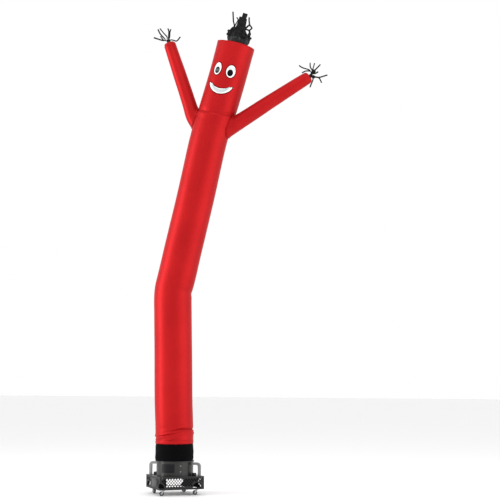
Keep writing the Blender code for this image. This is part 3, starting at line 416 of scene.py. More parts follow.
class Nodes:
    """A material's node tree, with short calls for what the cloth and the metals share."""

    def __init__(self, name):
        self.material = bpy.data.materials.new(name)
        self.material.use_nodes = True
        self.tree = self.material.node_tree

    def feed(self, socket, value):
        """Links a socket to another one, or gives it a number or a colour."""
        if isinstance(value, bpy.types.NodeSocket):
            self.tree.links.new(value, socket)
        else:
            socket.default_value = (*value, 1.0) if isinstance(value, tuple) else value

    def add(self, kind, **settings):
        """A node; each setting is one of its inputs, with _ for a space, or one of its options."""
        node = self.tree.nodes.new("ShaderNode" + kind)
        for key, value in settings.items():
            if key.replace("_", " ") in node.inputs:
                self.feed(node.inputs[key.replace("_", " ")], value)
            else:
                setattr(node, key, value)
        return node

    def surface(self, **inputs):
        """Feeds the shader's inputs, and gives the finished material."""
        shader = self.tree.nodes["Principled BSDF"]
        for key, value in inputs.items():
            self.feed(shader.inputs[key.replace("_", " ")], value)
        return self.material

    def coords(self, kind):
        return self.add("TexCoord").outputs[kind]

    def axis(self, vector, name):
        return self.add("SeparateXYZ", Vector=vector).outputs[name]

    def noise(self, vector, scale, detail=3.0, roughness=0.5):
        return self.add("TexNoise", Vector=vector, Scale=scale, Detail=detail,
                        Roughness=roughness).outputs["Fac"]

    def ramp(self, value, stops):
        node = self.add("ValToRGB", Fac=value)
        elements = node.color_ramp.elements
        while len(elements) < len(stops):
            elements.new(0.5)
        for element, (place, colour) in zip(elements, stops):
            element.position = place
            element.color = (*colour, 1.0)
        return node.outputs["Color"]

    def mix(self, factor, a, b, blend="MIX"):
        node = self.add("Mix", data_type="RGBA", blend_type=blend)
        for place, value in ((0, factor), (6, a), (7, b)):
            self.feed(node.inputs[place], value)
        return node.outputs[2]

    def maths(self, operation, a, b):
        node = self.add("Math", operation=operation)
        for socket, value in zip(node.inputs, (a, b)):
            self.feed(socket, value)
        return node.outputs[0]

    def range(self, value, low, high, start=0.0, stop=1.0):
        return self.add("MapRange", Value=value, From_Min=start, From_Max=stop, To_Min=low,
                        To_Max=high).outputs["Result"]

    def bump(self, height, distance, strength, **under):
        return self.add("Bump", Height=height, Distance=distance, Strength=strength,
                        **under).outputs["Normal"]

    def threads(self, vector, period, operation):
        """Bands across and along the cloth, brought together by a maths operation."""
        across, along = (
            self.add("TexWave", Vector=vector, Scale=BANDS_A_METRE / period,
                     bands_direction=way).outputs["Fac"]
            for way in "XY"
        )
        return self.maths(operation, across, along)


def cloth_material(name, colour, shade, light, roughness, specular, gloss, scale=2.2):
    """Coated ripstop nylon: weave, reinforcing grid, blotches, creasing and a dyed gloss."""
    n = Nodes(name)
    uv, place = n.coords("UV"), n.coords("Object")
    grime = n.noise(place, 14.0, 5.0, 0.6)
    base = n.ramp(n.noise(place, scale, 4.0), ((0.30, shade), (0.52, colour), (0.75, light)))
    grid = n.maths("POWER", n.threads(uv, RIPSTOP, "MAXIMUM"), 14.0)
    normal = n.bump(n.threads(uv, WEAVE, "MULTIPLY"), 0.0002, 0.35)
    normal = n.bump(grid, 0.00015, 0.35, Normal=normal)
    normal = n.bump(n.noise(place, 34.0, 4.0, 0.65), 0.0012, 0.30, Normal=normal)
    tint = tuple(channel / max(light) for channel in light)
    return n.surface(
        Base_Color=n.mix(1.0, base, n.range(grime, 0.94, 1.05), "MULTIPLY"),
        Roughness=n.range(grime, roughness - 0.06, roughness + 0.08),
        Normal=normal, Specular_IOR_Level=specular, Metallic=gloss,
        Sheen_Weight=0.02, Sheen_Roughness=0.5, Sheen_Tint=tint,
        Specular_Tint=(1.0, 0.65 + 0.35 * tint[1], 0.65 + 0.35 * tint[2]),
    )


def patch_material(name, stops, low, high, specular=0.3):
    """Cloth patch: its colour runs from the lower edge to the upper one."""
    n = Nodes(name)
    uv = n.coords("UV")
    base = n.ramp(n.range(n.axis(uv, "Y"), 0.0, 1.0, low, high), stops)
    return n.surface(
        Base_Color=n.mix(1.0, base, n.range(n.noise(uv, 60.0, 4.0), 0.93, 1.05), "MULTIPLY"),
        Normal=n.bump(n.threads(uv, WEAVE, "MULTIPLY"), 0.0002, 0.4),
        Roughness=n.range(n.noise(uv, 25.0), 0.45, 0.55),
        Specular_IOR_Level=specular,
    )


def metal_material(name, colour, worn, metallic, roughness, specular=0.5, grain=900.0,
                   grain_depth=0.0003, lit_side=None):
    """Powder coat or plating: fine orange-peel grain, handling marks and lighter worn patches.

    With a lit_side of 1 or -1, faces that look the other way along y get painted shade, near black,
    and so does the end that reaches deep into the base.
    """
    n = Nodes(name)
    place = n.coords("Object")
    marks = n.noise(place, 18.0, 6.0, 0.65)
    base = n.ramp(marks, ((0.40, colour), (0.62, colour), (0.80, worn)))
    base = n.mix(1.0, base, n.range(n.noise(place, 260.0, 2.0), 0.88, 1.10), "MULTIPLY")
    # painted shade: faces turned from the lit side, and the end deep in the base, go near black
    if lit_side:
        side = n.maths("MULTIPLY", n.axis(n.coords("Normal"), "Y"), lit_side * 6.0)
        across = n.axis(n.coords("Generated"), "X")
        if lit_side > 0:
            across = n.maths("SUBTRACT", 1.0, across)
        shallow = n.range(across, 1.0, 0.0, BAFFLE_DEEP - 0.05, BAFFLE_DEEP + 0.05)
        base = n.mix(n.maths("MULTIPLY", n.range(side, 0.0, 1.0), shallow), PAINTED_SHADE_BLACK, base)
    return n.surface(
        Base_Color=base, Metallic=metallic, Specular_IOR_Level=specular,
        Roughness=n.range(marks, roughness - 0.08, roughness + 0.12),
        Normal=n.bump(n.noise(place, grain, 2.0), grain_depth, 0.6),
    )


def thread(name, colour, worn, roughness, specular):
    return metal_material(name, colour, worn, 0.0, roughness, specular, 2400.0, 0.0002)


BANDS_A_METRE = 0.3142  # the wave texture's scale that gives one band a metre
WEAVE = 0.0009
RIPSTOP = 0.0065
# near black for painted shade inside the base
PAINTED_SHADE_BLACK = (0.003, 0.003, 0.003)
RED = cloth_material("red_nylon", (0.420, 0.0092, 0.0108), (0.392, 0.0082, 0.0098),
                     (0.450, 0.0106, 0.0122), 0.44, 0.12, 0.38)
BLACK = cloth_material("black_nylon", (0.0026, 0.0026, 0.0029), (0.0021, 0.0021, 0.0024),
                       (0.0033, 0.0033, 0.0038), 0.62, 0.01, 0.0)
RIBBON = cloth_material("black_ribbon", (0.0060, 0.0063, 0.0068), (0.0030, 0.0031, 0.0034),
                        (0.0170, 0.0180, 0.0190), 0.42, 0.10, 0.0, 24.0)
# the cuffs' black cloth made lighter and speckled: partly its own grey tone, partly painted crumple
# highlights
CUFF_TONE_AND_SHEEN = cloth_material("black_cuff_tone_and_sheen", (0.0260, 0.0300, 0.0310), (0.0090, 0.0100, 0.0105),
                      (0.0620, 0.0700, 0.0720), 0.42, 0.10, 0.0, 28.0)
RED_THREAD = thread("red_thread", (0.42, 0.009, 0.011), (0.46, 0.02, 0.02), 0.6, 0.2)
# a dark red bead round each white patch, darker than the cloth round it
DARK_PATCH_EDGE = thread("patch_dark_edge", (0.060, 0.0015, 0.0025), (0.09, 0.002, 0.003), 0.6, 0.05)
BLACK_THREAD = thread("black_thread", (0.003, 0.003, 0.004), (0.008, 0.008, 0.008), 0.7, 0.1)
GUNMETAL = metal_material("gunmetal_coat", (0.034, 0.034, 0.033), (0.056, 0.056, 0.054), 0.70, 0.30)
PANEL_COAT = metal_material("panel_coat", (0.017, 0.017, 0.017), (0.032, 0.032, 0.031), 0.10,
                            0.50, 0.22)
# painted shade: near black with no reflection, for the base's inner faces and gussets
INSIDE_PAINTED_SHADE = metal_material("inside_painted_shade", (0.0025, 0.0025, 0.0025), (0.006, 0.006, 0.006), 0.0,
                             0.80, 0.0)
STEEL_COAT = metal_material("steel_coat", (0.210, 0.210, 0.205), (0.300, 0.300, 0.290), 0.70, 0.36)
# the baffles carry painted shade on their back faces and on their deep end
BAFFLE_COATS = [
    metal_material(f"baffle_coat_{name}", (0.115, 0.115, 0.112), (0.150, 0.150, 0.147), 0.0, 0.60,
                   0.05, lit_side=side)
    for name, side in (("front", -1.0), ("back", 1.0))
]
DARK_COAT = metal_material("black_coat", (0.008, 0.008, 0.009), (0.022, 0.022, 0.022), 0.3, 0.46,
                           0.3)
ZINC = metal_material("zinc_plate", (0.40, 0.41, 0.42), (0.55, 0.55, 0.54), 1.0, 0.34, 0.5, 500.0,
                      0.0001)
RUBBER = metal_material("wheel_rubber", (0.010, 0.010, 0.011), (0.026, 0.025, 0.024), 0.0, 0.62,
                        0.3, 700.0)
HUB = metal_material("hub_plastic", (0.115, 0.118, 0.120), (0.17, 0.17, 0.17), 0.0, 0.42, 0.5,
                     800.0, 0.0002)
FILM = metal_material("label_film", (0.0030, 0.0030, 0.0050), (0.006, 0.006, 0.009), 0.0, 0.35,
                      0.2, 300.0, 0.0001)


# ---- Meshes

ROPE_SIDES = 6
STITCH_LENGTH = 0.0055
STITCH_WIDTH = 0.0013
STITCH_LIFT = 0.0003
UP = (0.0, 0.0, 1.0)


def in_frame(points, matrix):
    return np.asarray(points, float) @ np.array(matrix.to_3x3()).T + np.array(matrix.translation)


def unit(vectors):
    return vectors / np.linalg.norm(vectors, axis=-1)[..., None]


def lengths(points):
    """How far along its line each point is."""
    return np.concatenate([[0.0], np.cumsum(np.linalg.norm(np.diff(points, axis=0), axis=1))])


def sampled(values, along, place):
    """The values of a line's points at any places along it."""
    return np.stack([np.interp(place, along, column) for column in values.T], axis=-1)


def new_mesh(name, points, faces):
    mesh = bpy.data.meshes.new(name)
    mesh.from_pydata(np.asarray(points, float).tolist(), [], [list(face) for face in faces])
    return mesh


def place_object(name, data):
    obj = bpy.data.objects.new(name, data)
    bpy.context.scene.collection.objects.link(obj)
    return obj


def new_object(name, points, faces, material, uvs=None, thick=0.0, body="root"):
    """An object from points and faces, on its body. uvs has one pair for each face corner."""
    mesh = new_mesh(name, points, faces)
    if uvs is not None:
        layer = mesh.uv_layers.new(name="UVMap")
        layer.data.foreach_set("uv", np.asarray(uvs, np.float32).ravel())
    mesh.materials.append(material)
    mesh.shade_smooth()
    mesh.update()
    obj = place_object(name, mesh)
    if thick:
        solidify = obj.modifiers.new("cloth", "SOLIDIFY")
        solidify.thickness = thick
        solidify.offset = -1.0
    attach(obj, body)
    return obj


def grid_faces(rows, columns, wrapped=True):
    """Quads of a grid of points, and each corner's (column, row), where a wrap keeps counting."""
    last = columns if wrapped else columns - 1
    i, k = np.meshgrid(np.arange(rows - 1), np.arange(last), indexing="ij")
    i, k = i.ravel(), k.ravel()
    corners = [(i, k), (i, k + 1), (i + 1, k + 1), (i + 1, k)]
    faces = np.stack([a * columns + b % columns for a, b in corners], axis=1)
    return faces, np.stack([np.stack([b, a], axis=1) for a, b in corners], axis=1)


def capped_faces(rows, columns):
    """The faces of a closed band whose two ends are closed as well."""
    last = (rows - 1) * columns
    ends = [list(range(columns))[::-1], list(range(last, last + columns))]
    return grid_faces(rows, columns)[0].tolist() + ends


def tube_object(name, points, matrix, material, across, along):
    """A tube of cloth from rings of points; across and along are its size, for the weave."""
    rows, columns = points.shape[:2]
    faces, places = grid_faces(rows, columns)
    uvs = places * np.array([across / columns, along / (rows - 1)])
    return new_object(name, in_frame(points.reshape(-1, 3), matrix), faces, material, uvs, CLOTH)


def rope(name, path, normals, bead, matrix, material):
    """A raised bead round a closed path, such as a seam's roll or a satin-stitched edge."""
    path = path + normals * bead.lift
    beside = unit(np.cross(normals, unit(np.roll(path, -1, 0) - np.roll(path, 1, 0))))
    turns = 2 * math.pi * np.arange(ROPE_SIDES) / ROPE_SIDES
    sides = [path + beside * (bead.width / 2 * math.cos(turn))
             + normals * (bead.height / 2 * math.sin(turn)) for turn in turns]
    points = np.stack(sides, axis=1).reshape(-1, 3)
    faces = grid_faces(len(path) + 1, ROPE_SIDES)[0] % len(points)
    return new_object(name, in_frame(points, matrix), faces, material)


def stitches(name, path, normals, matrix, material, pitch=0.0080, closed=True):
    """One small thread hump for each stitch along a path that lies on the cloth."""
    if closed:
        path, normals = (np.concatenate([line, line[:1]]) for line in (path, normals))
    along = lengths(path)
    count = int(along[-1] / pitch)
    starts = along[-1] * (np.arange(count) + 0.2) / count
    head, tail = sampled(path, along, starts), sampled(path, along, starts + STITCH_LENGTH)
    lift = sampled(normals, along, starts + STITCH_LENGTH / 2)
    beside = np.cross(lift, unit(tail - head))
    middle = (head + tail) / 2 + lift * (STITCH_WIDTH * 0.55)
    shapes = [head, middle + beside * (STITCH_WIDTH / 2), middle + lift * (STITCH_WIDTH / 4),
              middle - beside * (STITCH_WIDTH / 2), tail]
    points = np.stack(shapes, axis=1).reshape(-1, 3)
    pattern = np.array([(0, 2, 1), (0, 3, 2), (4, 1, 2), (4, 2, 3), (0, 1, 3), (4, 3, 1)])
    faces = (np.arange(count)[:, None, None] * 5 + pattern).reshape(-1, 3)
    return new_object(name, in_frame(points, matrix), faces, material)


def merged(parts):
    """Several (points, faces) as one pair."""
    faces, count = [], 0
    for points, part_faces in parts:
        faces += [[index + count for index in face] for face in part_faces]
        count += len(points)
    return np.concatenate([points for points, _ in parts]), faces


# ---- Cloth tubes


def curve_knots(points):
    """Points with one more before and after them, so that a curve can reach both ends."""
    return np.concatenate([[2 * points[0] - points[1]], points, [2 * points[-1] - points[-2]]])


def curve_point(knots, i, t):
    """The place at a share t of the way from point i to the next, on a smooth curve."""
    a, b, c, d = knots[i : i + 4]
    return 0.5 * (2 * b + (c - a) * t + (2 * a - 5 * b + 4 * c - d) * t * t
                  + (3 * b - a - 3 * c + d) * t**3)


def smooth_rings(rows):
    """Centres, radii and the length along: a dense smooth curve through a table of rings."""
    points = np.array([(row.x, row.z, row.radius) for row in rows])
    knots = curve_knots(points)
    found = []
    for i, (start, end) in enumerate(zip(points, points[1:])):
        spacing = FINE_SPACING if end[1] <= FINE_BELOW else RING_SPACING
        steps = max(2, math.ceil(np.linalg.norm((end - start)[:2]) / spacing))
        found += [curve_point(knots, i, t) for t in np.arange(steps) / steps]
    x, z, radii = np.array([*found, points[-1]]).T
    centres = np.stack([x, np.zeros(len(x)), z], axis=1)
    return centres, radii, lengths(centres)


def ways_of(centres, first=None, last=None):
    ways = np.gradient(centres, axis=0)
    if first is not None:
        ways[0], ways[-1] = first, last
    return unit(ways)


def turn_from(angles, middle):
    """Angles counted from a middle one, within half a turn each way."""
    return (angles - middle + math.pi) % (2 * math.pi) - math.pi


def fold_press(folds, angles, z):
    """How far the folds push the wall in, at arrays of angles and heights."""
    inward = np.zeros(np.broadcast(angles, z).shape)
    for fold in folds:
        away = turn_from(angles, math.radians(fold.side))
        rise = (z - fold.z - fold.climb * away) / fold.tall
        inward += fold.depth * np.exp(-rise * rise - (away / fold.wide) ** 2)
    return inward


def cloud(angles, along, depth, radius, scale, seed, stretch):
    """Smooth noise on a tube's surface, either way; stretch draws it out along the tube."""
    angles, along = np.broadcast_arrays(angles, along)
    found = [
        noise.noise((radius * math.cos(angle) * scale, radius * math.sin(angle) * scale,
                     s * scale / stretch + seed))
        for angle, s in zip(angles.ravel(), along.ravel())
    ]
    return depth * np.array(found).reshape(angles.shape)


def gathers(angles, distance, count, reach, depth, seed):
    """Irregular puckers that run out from a seam and die away with the distance from it."""
    wobble = seed + 1.7 * np.sin(2 * angles + seed) + 0.9 * np.sin(5 * angles + 2 * seed)
    waves = 0.6 * np.sin(count * angles + wobble)
    waves = waves + 0.4 * np.sin((count * 1.63 // 1) * angles - wobble)
    uneven = 0.65 + 0.35 * np.sin(3 * angles + 3 * seed)
    return depth * waves * uneven * np.exp(-np.abs(distance) / (reach * (0.7 + 0.5 * uneven)))


def tube_points(centres, ways, reach, angles):
    """Points round a tube's centres, of which there is one for each ring or for each point."""
    if centres.ndim == 2:
        centres, ways = centres[:, None], ways[:, None]
    side = np.stack([ways[..., 2], np.zeros(ways.shape[:-1]), -ways[..., 0]], axis=-1)
    points = centres + side * (reach * np.cos(angles))[..., None]
    points[..., 1] += reach * np.sin(angles)
    return points


def around(sides):
    return 2 * math.pi * np.arange(sides)[None] / sides


def ring_normals(points):
    """Outward directions of one ring of points."""
    return unit(points - points.mean(axis=0))


def stitched_ring(name, ring, material, matrix, lift=STITCH_LIFT):
    out = ring_normals(ring)
    return stitches(name, ring + out * lift, out, matrix, material)


def make_sleeve():
    rings, ring_radii, ring_along = smooth_rings(SLEEVE_RINGS)
    along = np.linspace(0, ring_along[-1], 34)
    centres = sampled(rings, ring_along, along)
    radii = np.interp(along, ring_along, ring_radii)
    angles = around(TUBE_SIDES)
    z, s = centres[:, 2:], along[:, None]
    press = fold_press(SLEEVE_FOLDS, angles, z)
    press += gathers(angles, s - along[-1], *SLEEVE_TOP_GATHER)
    press += gathers(angles, s, *SLEEVE_LOW_GATHER)
    press += cloud(angles, s, *SLEEVE_CLOUD)
    press += 0.0030 * np.clip((z - 0.600) / 0.015, 0.0, 1.0)
    press *= np.clip(s / 0.012, 0.25, 1.0)
    points = tube_points(centres, ways_of(centres, UP, UP), radii[:, None] - press, angles)
    obj = tube_object("sleeve_cloth", points, DANCER, BLACK, 2 * math.pi * SLEEVE_RADIUS, along[-1])
    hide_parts("bottom_sleeve")
    sewn = [stitched_ring(f"sleeve_{name}_stitches", points[row], BLACK_THREAD, DANCER) for name, row in (("hem", 4), ("top", -3))]


def make_body():
    shoulder = [(NECK - HEAD_AXIS * row.below, row.radius) for row in SHOULDER_RINGS]
    rings = BODY_RINGS + [Ring(place.x, place.z, radius) for place, radius in shoulder]
    centres, radii, along = smooth_rings(rings)
    angles = around(TUBE_SIDES)
    z, s = centres[:, 2:], along[:, None]
    press = fold_press(BODY_FOLDS + BODY_CREASES, angles, z)
    press += gathers(angles, s, *BODY_LOW_GATHER)
    press += gathers(angles, s - along[-1], *SHOULDER_GATHER)
    press += cloud(angles, s, *BODY_CLOUD)
    press += cloud(angles, s, *BODY_FINE_CLOUD)
    press += 0.0012 * np.exp(-((turn_from(angles, math.radians(BACK_SEAM)) / 0.03) ** 2))
    press *= np.clip(np.minimum(s, along[-1] - s) / 0.010, 0.2, 1.0)
    ways = ways_of(centres, UP, tuple(HEAD_AXIS))
    points = tube_points(centres, ways, radii[:, None] - press, angles)
    points -= np.array(HEAD_AXIS) * seam_drop(angles, along[-1] - s)[..., None]
    girth = 2 * math.pi * BODY_RADIUS
    obj = tube_object("body_cloth", points, DANCER, RED, girth, along[-1])
    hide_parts("body_tube")
    out = ring_normals(points[0])
    more = [
        rope("body_sleeve_seam", points[0], out, SLEEVE_BEAD, DANCER, RED),
        stitched_ring("body_hem_stitches", points[2], RED_THREAD, DANCER),
        stitched_ring("shoulder_stitches", points[-6], RED_THREAD, DANCER),
    ]
    seam = round(BACK_SEAM / 360.0 * TUBE_SIDES)
    out = unit(points[:, seam] - centres)[2:-6]
    line = points[2:-6, seam - 2] + out * STITCH_LIFT
    more.append(stitches("body_back_stitches", line, out, DANCER, RED_THREAD,
                         pitch=0.010, closed=False))
    return centres, radii


def head_radius(z):
    return np.interp(z, [row.z for row in HEAD_RINGS], [row.radius for row in HEAD_RINGS])


def head_middle(z):
    return np.interp(z, [row.z for row in HEAD_RINGS], [row.x for row in HEAD_RINGS])


def seam_drop(angles, away):
    """How far the neck seam's tilt takes a point down the head's axis, less with distance."""
    front = np.clip(-np.sin(angles), 0.0, 1.0) ** 2
    drop = SEAM_DROP.all_round - SEAM_DROP.side * np.cos(angles) + SEAM_DROP.front * front
    return drop * np.exp(-((away / SEAM_REACH) ** 2))


def top_sag(angles, away):
    """How far the slack side of the head's top edge sags, less with distance below it."""
    share = 0.5 + 0.5 * np.cos(angles - TOP_SAG_SIDE)
    return TOP_SAG * share**2 * np.exp(-((away / TOP_SAG_REACH) ** 2))


def head_press(angles, z):
    """How far the head's wall is pushed in from its smooth rings, for its own mesh and the face."""
    top = HEAD_LENGTH - z
    press = gathers(angles, z, *NECK_GATHER) * np.minimum(1.0, z / 0.010)
    press = press + gathers(angles, top, *HEAD_TOP_GATHER) * np.minimum(1.0, top / 0.010)
    waist = 0.0030 * np.exp(-((z - 0.016) / 0.014) ** 2)
    face = np.exp(-(turn_from(angles, -math.pi / 2) / 0.9) ** 4)
    slack = 0.0016 * (1.0 - 0.7 * face)
    return press + waist + slack * np.sin(3 * angles + 5 * z + 1.0) * np.sin(4.1 * z + 0.4)


def make_head():
    heights = np.concatenate([np.linspace(GAP, 0.05, 9), np.arange(0.060, 0.84, RING_SPACING),
                              np.linspace(0.842, HEAD_LENGTH, 9)])
    angles = around(TUBE_SIDES)
    z = heights[:, None]
    press = head_press(angles, z) + cloud(angles, z, *HEAD_CLOUD)
    centres = np.stack([head_middle(heights), 0 * heights, heights], axis=1)
    ways = np.tile(UP, (len(heights), 1))
    points = tube_points(centres, ways, head_radius(z) - press, angles)
    points[..., 2] -= seam_drop(angles, z)
    points[..., 2] -= top_sag(angles, HEAD_LENGTH - z)
    girth = 2 * math.pi * HEAD_RADIUS
    obj = tube_object("head_cloth", points, HEAD, RED, girth, HEAD_LENGTH)
    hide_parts("head_tube")
    out = ring_normals(points[0])
    more = (
        stitched_ring("neck_stitches", points[3], RED_THREAD, HEAD),
        stitched_ring("head_top_stitches", points[-4], RED_THREAD, HEAD),
        rope("neck_seam", points[0], out, NECK_BEAD, HEAD, RED),
    )
    make_crown(points[-1])


def make_crown(edge):
    """The round panel, a little domed by the air and puckered at its sewn edge."""
    shares = np.concatenate([np.linspace(0.04, 0.9, 24), np.linspace(0.915, 1.0, 7)])[:, None]
    angles = around(TUBE_SIDES)
    radius = CROWN_RADIUS * shares
    pucker = gathers(angles, CROWN_RADIUS * (1 - shares), *CROWN_GATHER)
    height = HEAD_LENGTH + (CROWN_RISE * (1 - shares**3) + CLOTH + GAP)
    points = np.stack([head_middle(HEAD_LENGTH) + radius * np.cos(angles), radius * np.sin(angles),
                       height - (pucker + top_sag(angles, 0.0)) * shares**2], axis=-1)
    rows, columns = points.shape[:2]
    faces = [face[::-1] for face in grid_faces(rows, columns)[0].tolist()] + [list(range(columns))]
    flat = points[..., :2].reshape(-1, 2)
    uvs = np.concatenate([flat[face] for face in faces])
    obj = new_object("crown_cloth", in_frame(points.reshape(-1, 3), HEAD), faces, RED, uvs, CLOTH)
    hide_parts("crown_panel")
    out = ring_normals(edge)
    up = np.tile(UP, (columns, 1))
    more = (
        rope("crown_seam", edge + np.array(UP) * CROWN_BEAD_RISE, out, CROWN_BEAD, HEAD, RED),
        stitches("crown_stitches", points[-5] + up * STITCH_LIFT, up, HEAD, RED_THREAD),
    )


def outside_body(points, centres, radii):
    """How far points are outside the body or the head, whichever is nearer, and the way out."""
    flat = points.reshape(-1, 3)
    away = np.linalg.norm(flat[:, None] - centres[None], axis=2)
    nearest = away.argmin(axis=1)
    from_body = away[np.arange(len(flat)), nearest] - radii[nearest]
    neck, axis = np.array(NECK), np.array(HEAD_AXIS)
    height = (flat - neck) @ axis
    side = np.array((axis[2], 0.0, -axis[0]))
    middle = neck + height[:, None] * axis + head_middle(height)[:, None] * side
    across = np.linalg.norm(flat - middle, axis=1)
    from_head = np.where(height > 0, across - head_radius(height), from_body)
    at_head = (height > 0) & (from_head < from_body)
    out = flat - np.where(at_head[:, None], middle, centres[nearest])
    out /= np.maximum(np.linalg.norm(out, axis=1), 1e-9)[:, None]
    return np.minimum(from_body, from_head).reshape(points.shape[:-1]), out.reshape(points.shape)


def arm_starts(away, along):
    """Where each line along an arm leaves the body or the head."""
    starts = []
    for column in away.T:
        last = np.nonzero(column < ARM_CLEAR)[0].max(initial=0)
        after = min(last + 1, len(column) - 1)
        a, b = column[last], column[after]
        share = (ARM_CLEAR - a) / (b - a) if b != a else 0.0
        starts.append(along[last] + share * (along[after] - along[last]))
    return np.array(starts)


def make_arm(name, rows, body_centres, body_radii, seed):
    """A tapered arm: each line along it starts where it leaves the body or the head."""
    centres, radii, along = smooth_rings(rows)
    ways = ways_of(centres)
    angles = around(ARM_SIDES)
    whole = tube_points(centres, ways, np.broadcast_to(radii[:, None], (len(radii), ARM_SIDES)),
                        angles)
    starts = arm_starts(outside_body(whole, body_centres, body_radii)[0], along)
    place = starts + (along[-1] - starts) * (np.linspace(0.0, 1.0, 110) ** 0.9)[:, None]
    from_seam = place - starts
    cuts = np.clip(along[-1] - place, 0.0, None)
    press = gathers(angles, from_seam, *ARM_GATHER._replace(seed=seed))
    pleats = np.sin(9 * angles + seed + 0.6 * np.sin(3 * angles))
    press += 0.0052 * np.exp(-cuts / 0.055) * pleats * np.minimum(1.0, cuts / 0.012 + 0.25)
    press += cloud(angles, place, *ARM_CLOUD._replace(seed=seed))
    reach = np.interp(place, along, radii) - press * np.minimum(1.0, 0.3 + from_seam / 0.02)
    reach += ARM_FLARE * np.exp(-from_seam / ARM_FLARE_REACH)
    found = tube_points(sampled(centres, along, place), unit(sampled(ways, along, place)), reach,
                        angles)
    away, out = outside_body(found, body_centres, body_radii)
    lift = (ARM_SUNK - away) * np.exp(-((from_seam / 0.014) ** 2))
    found += np.clip(lift, -0.03, 0.03)[..., None] * out
    start = starts.mean()
    length = along[-1] - start
    mean = 2 * math.pi * np.interp((start + along[-1]) / 2, along, radii)
    obj = tube_object(f"{name}_cloth", found, DANCER, RED, mean, length)
    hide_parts(name)
    more = (
        rope(f"{name}_seam", found[1], ring_normals(found[0]), ARM_BEAD, DANCER, RED),
        stitched_ring(f"{name}_stitches", found[3], RED_THREAD, DANCER),
        rope(f"{name}_tie", found[-6], ring_normals(found[-6]), TIE_BEAD, DANCER, RED_THREAD),
    )


# ---- Face


def across_patch(count):
    """Shares from -1 to 1 across a patch, closer together at its two ends."""
    return -0.9995 * np.cos(math.pi * np.arange(count + 1) / count)


def oval(middle, z, half_angle, half_height, count):
    """The angles and the low and high edges of an oval's columns, from angles in degrees."""
    t = across_patch(count)
    reach = half_height * np.sqrt(1.0 - t * t)
    return math.radians(middle) + math.radians(half_angle) * t, z - reach, z + reach


def smile(count, share=1.0, drop=0.0):
    """The crescent's columns; a share under one gives the smaller shape inside it."""
    t = across_patch(count)
    low = SMILE_LOW_Z + SMILE_LOW_RISE * t * t
    high = SMILE_HIGH_Z + SMILE_HIGH_RISE * t * t
    middle = (low + high) / 2 + drop
    half = (high - low) / 2 * np.sqrt(1.0 - t**8) * share
    return SMILE_HALF_ANGLE * t * (0.5 + share / 2), middle - half, middle + half


def face_points(columns, lift, puff):
    """A grid on the head's wall between the columns' low and high edges."""
    angle, low, high = columns
    shares = ((1 - np.cos(math.pi * np.arange(PATCH_ROWS + 1) / PATCH_ROWS)) / 2)[:, None]
    z = low + (high - low) * shares
    tube_angle = np.broadcast_to(FACE_TURN + angle - math.pi / 2, z.shape)
    across = np.linspace(-1, 1, len(angle)) ** 4
    crown = puff * (1 - (2 * shares - 1) ** 4) * (1 - across)
    reach = head_radius(z) - head_press(tube_angle, z) + lift + crown
    return np.stack([head_middle(z) + reach * np.cos(tube_angle), reach * np.sin(tube_angle), z],
                    axis=-1)


def patch_edge(name, points, bead, outward, material, slot):
    """A bead round a patch, moved outward by a share of its width."""
    path = np.concatenate([points[0], points[-1][::-1]])
    out = unit(path * np.array((1.0, 1.0, 0.0)))
    beyond = path - path.mean(axis=0)
    beyond = unit(beyond - out * (beyond * out).sum(axis=1)[:, None])
    path = path + beyond * (bead.width * outward)
    return rope(name, path, out, bead, HEAD, material)


def make_patch(name, columns, lift, puff, material, edge=()):
    """A patch on the face; edge gives its bead, the outward share, the material and a slot, which
    is not used.
    """
    angle, low, high = columns
    points = face_points(columns, lift + PATCH, puff)
    faces, places = grid_faces(*points.shape[:2], wrapped=False)
    flat = np.stack([np.broadcast_to(angle * FACE_RADIUS, points.shape[:2]), points[..., 2]],
                    axis=-1)
    obj = new_object(name, in_frame(points.reshape(-1, 3), HEAD), faces, material,
                     flat[places[..., 1], places[..., 0]], PATCH)
    more = [patch_edge(f"{name}_edge", points, *edge)] if edge else []
    return obj


